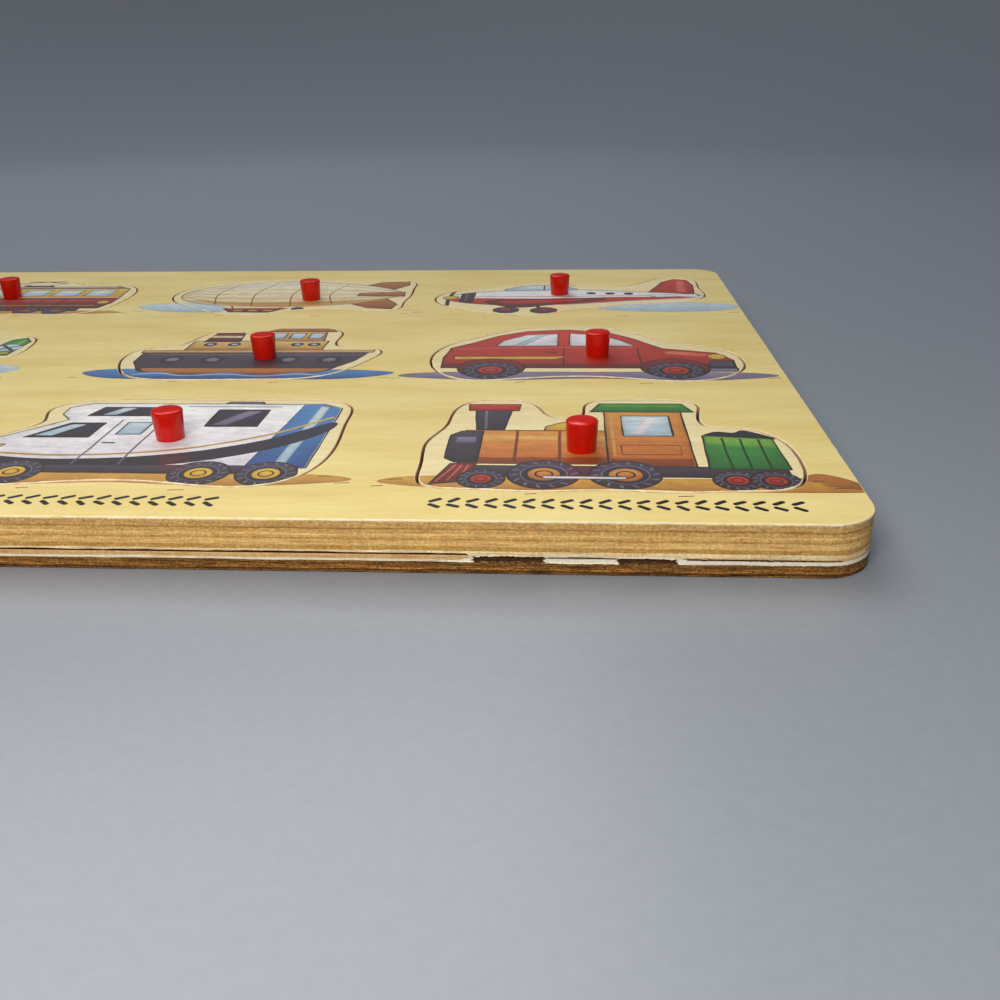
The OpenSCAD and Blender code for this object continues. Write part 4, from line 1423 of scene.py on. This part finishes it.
def fibre_tree():
    """Grows torn fibres: thin tapered slivers strewn along the lines of a mesh, lying mostly along them."""
    tree, sizes = geometry_tree("torn_fibres", {
        "Lines": "Geometry", "Spacing": "Float", "Reach": "Float", "Thickness": "Float", "Lean": "Float",
        "Stray": "Float", "Seed": "Int", "Material": "Material"})
    path = node(tree, "GeometryNodeMeshToCurve", {"Mesh": sizes["Lines"]})
    path = node(tree, "GeometryNodeResampleCurve", {"Curve": path, "Length": sizes["Spacing"]}, mode="LENGTH")
    path = node(tree, "GeometryNodeCurveToPoints", {"Curve": path}, mode="EVALUATED")
    half = node(tree, "ShaderNodeMath", {0: sizes["Thickness"], 1: 0.5}, operation="MULTIPLY")
    tip = node(tree, "ShaderNodeMath", {0: sizes["Thickness"], 1: FIBRE_TIP}, operation="MULTIPLY")
    sliver = node(tree, "GeometryNodeMeshCone", {
        "Vertices": FIBRE_SIDES, "Radius Top": tip, "Radius Bottom": half, "Depth": sizes["Reach"]})

    def swung(size, axes):
        """A random turn or move, up to a size either way on each of the axes."""
        ends = [node(tree, "ShaderNodeMath", {0: size, 1: side}, operation="MULTIPLY")
                for side in (-1.0, 1.0)]
        low, high = (node(tree, "ShaderNodeCombineXYZ", {axis: end for axis in axes}) for end in ends)
        return node(tree, "FunctionNodeRandomValue", {0: low, 1: high, "Seed": sizes["Seed"]},
                    data_type="FLOAT_VECTOR")

    lean, shift = swung(sizes["Lean"], "XYZ"), swung(sizes["Stray"], "XZ")
    lying = node(tree, "ShaderNodeVectorMath", {0: lean, 1: (0.0, math.pi / 2, 0.0)}, operation="ADD")
    growth = node(tree, "FunctionNodeRandomValue", {
        0: FIBRE_LEAST, 1: FIBRE_MOST, "Seed": sizes["Seed"]}, data_type="FLOAT_VECTOR")
    path = node(tree, "GeometryNodeSetPosition", {"Geometry": path, "Offset": shift})
    fibres = node(tree, "GeometryNodeInstanceOnPoints", {
        "Points": path, "Instance": sliver, "Rotation": lying, "Scale": growth})
    fibres = node(tree, "GeometryNodeRealizeInstances", {"Geometry": fibres})
    fibres = node(tree, "GeometryNodeSetMaterial", {"Geometry": fibres, "Material": sizes["Material"]})
    node(tree, "NodeGroupOutput", {0: fibres})
    return tree


class PUZZLE_OT_torn_fibres(bpy.types.Operator):
    """Leaves torn fibres along the hollows of the backing board's front edge"""

    bl_idname = "puzzle.torn_fibres"
    bl_label = "Torn fibres"

    def execute(self, context):
        face = BOARD_LOW.y + FIBRE_SINK
        spots, lines = [], []
        for start, end, foot, _, _, tint in TEAR:
            if tint == TORN_DARK_AND_SHADE and foot < HOLLOW_FOOT:
                lines.append((len(spots), len(spots) + 1))
                spots += [(x * MM, face * MM, foot * MM) for x in (start, end)]
        paths = bpy.data.meshes.new("tear_lines")
        paths.from_pydata(spots, lines, [])
        piece = from_tree(
            "torn_fibres", fibre_tree(), paths, spacing=0.55 * MM, reach=1.6 * MM, thickness=0.2 * MM,
            lean=0.25, stray=0.22 * MM, seed=7, material=material(torn_wood))
        outward(piece.data)
        dressed(piece, BOARD, "backing_ply")
        return {"FINISHED"}


# Printed tyre tracks along the front margin: first and last x, and y, in mm
TRACKS = [(-188.0, 38.0, -139.3), (94.0, 182.0, -139.0)]


class PUZZLE_OT_tyre_tracks(bpy.types.Operator):
    """Prints the tyre tracks along the board's front margin"""

    bl_idname = "puzzle.tyre_tracks"
    bl_label = "Tyre tracks"

    def execute(self, context):
        tree = track_tree()
        for k, (start, end, y) in enumerate(TRACKS):
            first, last = ((x * MM, y * MM, TOP * MM) for x in (start, end))
            piece = from_tree(
                f"tyre_track_print_{k + 1}", tree, first=first, last=last, spacing=4.6 * MM,
                bar_length=3.7 * MM, bar_width=1.35 * MM, row_gap=3.3 * MM, slant=0.6, waver=0.12 * MM,
                sheet=0.03 * MM, seed=4 + k, material=material(printed_black))
            outward(piece.data)
            dressed(piece, BOARD, "printed_ply")
        return {"FINISHED"}


# The photograph's viewpoint: the camera's place in mm, its turns round x, y and z in degrees, its sensor and
# lens in mm, and the nearest distance in metres that it shows
CAMERA_PLACE = (125.206, -360.861, 114.373)
CAMERA_TURN = (65.9466, 0.9497, 3.466)
SENSOR, LENS, NEAREST = 36.0, 36.0, 0.005
# The round studio floor in metres: its flat's radius, the sweep up to its wall and the wall's height, then
# its sides, the steps of its sweep, and the share of the flat's radius that one face covers
FLAT_R, SWEEP_R, WALL = 1.1, 0.6, 2.4
FLOOR_SIDES, SWEEP_STEPS, FLAT_FACE = 96, 16, 0.98
# Softboxes: name, place and aim in metres, width and height in metres, power in watts, tone, and whether
# gloss mirrors it
SOFTBOXES = [
    ("front_softbox", (0.04, -0.44, 0.29), (0.05, -0.18, 0.0), (0.25, 0.2), 1.5, "#FFF9EF", False),
    ("overhead_softbox", (-0.35, 0.0, 1.25), (0.0, 0.0, 0.0), (1.0, 1.0), 2.4, "#FFFFFF", True),
    ("back_softbox", (-0.35, 0.75, 1.15), (0.0, -0.1, 0.0), (1.3, 0.8), 10.0, "#FFFFFF", True),
]
AIR, AIR_STRENGTH = linear("#E8ECF2"), 0.27


class PUZZLE_OT_stage(bpy.types.Operator):
    """Sets the studio floor, the soft lights and the camera"""

    bl_idname = "puzzle.stage"
    bl_label = "Stage"

    def execute(self, context):
        scene = context.scene
        rise = [math.pi / 2 * k / SWEEP_STEPS for k in range(SWEEP_STEPS + 1)]
        line = [(FLAT_FACE * FLAT_R, 0.0)]
        line += [(FLAT_R + SWEEP_R * math.sin(a), SWEEP_R * (1 - math.cos(a))) for a in rise]
        line.append((FLAT_R + SWEEP_R, WALL))
        turn = [math.tau * k / FLOOR_SIDES for k in range(FLOOR_SIDES)]
        spots = [(r * math.cos(a), r * math.sin(a), z) for r, z in line for a in turn]
        faces = [tuple(range(FLOOR_SIDES))]
        for first in range(0, len(spots) - FLOOR_SIDES, FLOOR_SIDES):
            for k in range(FLOOR_SIDES):
                a, b = first + k, first + (k + 1) % FLOOR_SIDES
                faces.append((a, a + FLOOR_SIDES, b + FLOOR_SIDES, b))
        mesh = bpy.data.meshes.new("studio_floor")
        mesh.from_pydata(spots, [], faces)
        mesh.shade_smooth()
        mesh.materials.append(material(painted_floor))
        placed("studio_floor", mesh)

        for name, place, aim, size, power, tone, mirrored in SOFTBOXES:
            light = bpy.data.lights.new(name, "AREA")
            light.shape = "RECTANGLE"
            light.size, light.size_y = size
            light.energy = power
            light.color = linear(tone)[:3]
            lamp = placed(name, light)
            lamp.visible_camera = False
            lamp.visible_glossy = mirrored
            lamp.location = place
            lamp.rotation_euler = (Vector(aim) - Vector(place)).to_track_quat("-Z", "Y").to_euler()

        world = bpy.data.worlds.new("studio_air")
        world.use_nodes = True
        air = next(n for n in world.node_tree.nodes if n.type == "BACKGROUND")
        air.inputs["Color"].default_value = AIR
        air.inputs["Strength"].default_value = AIR_STRENGTH
        scene.world = world
        scene.view_settings.view_transform = "Standard"

        lens = bpy.data.cameras.new("photo_view")
        lens.sensor_width, lens.lens, lens.clip_start = SENSOR, LENS, NEAREST
        camera = placed("photo_view", lens)
        turned = Euler([math.radians(a) for a in CAMERA_TURN])
        camera.matrix_world = Matrix.LocRotScale(Vector(CAMERA_PLACE) * MM, turned, None)
        scene.camera = camera
        return {"FINISHED"}


class PUZZLE_PT_maker(bpy.types.Panel):
    """Lists what makes the puzzle and its sizes and colours"""

    bl_idname = "PUZZLE_PT_maker"
    bl_label = "Peg puzzle"
    bl_space_type = "VIEW_3D"
    bl_region_type = "UI"
    bl_category = "Peg puzzle"

    def draw(self, context):
        for maker in MAKERS:
            self.layout.operator(maker.bl_idname)
        for group in (context.scene.puzzle_sizes, context.scene.puzzle_colours):
            box = self.layout.box()
            for key in group.bl_rna.properties.keys():
                if key not in ("rna_type", "name"):
                    box.prop(group, key)


MAKERS = (PUZZLE_OT_frame_board, PUZZLE_OT_backing_board, PUZZLE_OT_sawn_pieces, PUZZLE_OT_moulded_pegs,
          PUZZLE_OT_tyre_tracks, PUZZLE_OT_torn_fibres, PUZZLE_OT_stage)
CLASSES = (PuzzleSizes, PuzzleColours, *MAKERS, PUZZLE_PT_maker)


def register():
    """Registers the classes and gives the scene the puzzle's sizes and colours."""
    for made in CLASSES:
        bpy.utils.register_class(made)
    bpy.types.Scene.puzzle_sizes = bpy.props.PointerProperty(type=PuzzleSizes)
    bpy.types.Scene.puzzle_colours = bpy.props.PointerProperty(type=PuzzleColours)


def unregister():
    """Takes back what register did."""
    del bpy.types.Scene.puzzle_colours
    del bpy.types.Scene.puzzle_sizes
    for made in reversed(CLASSES):
        bpy.utils.unregister_class(made)


def main():
    """Makes the puzzle and its stage."""
    register()
    bpy.ops.puzzle.frame_board()
    bpy.ops.puzzle.backing_board()
    bpy.ops.puzzle.sawn_pieces()
    bpy.ops.puzzle.moulded_pegs()
    bpy.ops.puzzle.tyre_tracks()
    bpy.ops.puzzle.torn_fibres()
    bpy.ops.puzzle.stage()


if __name__ == "__main__":
    main()
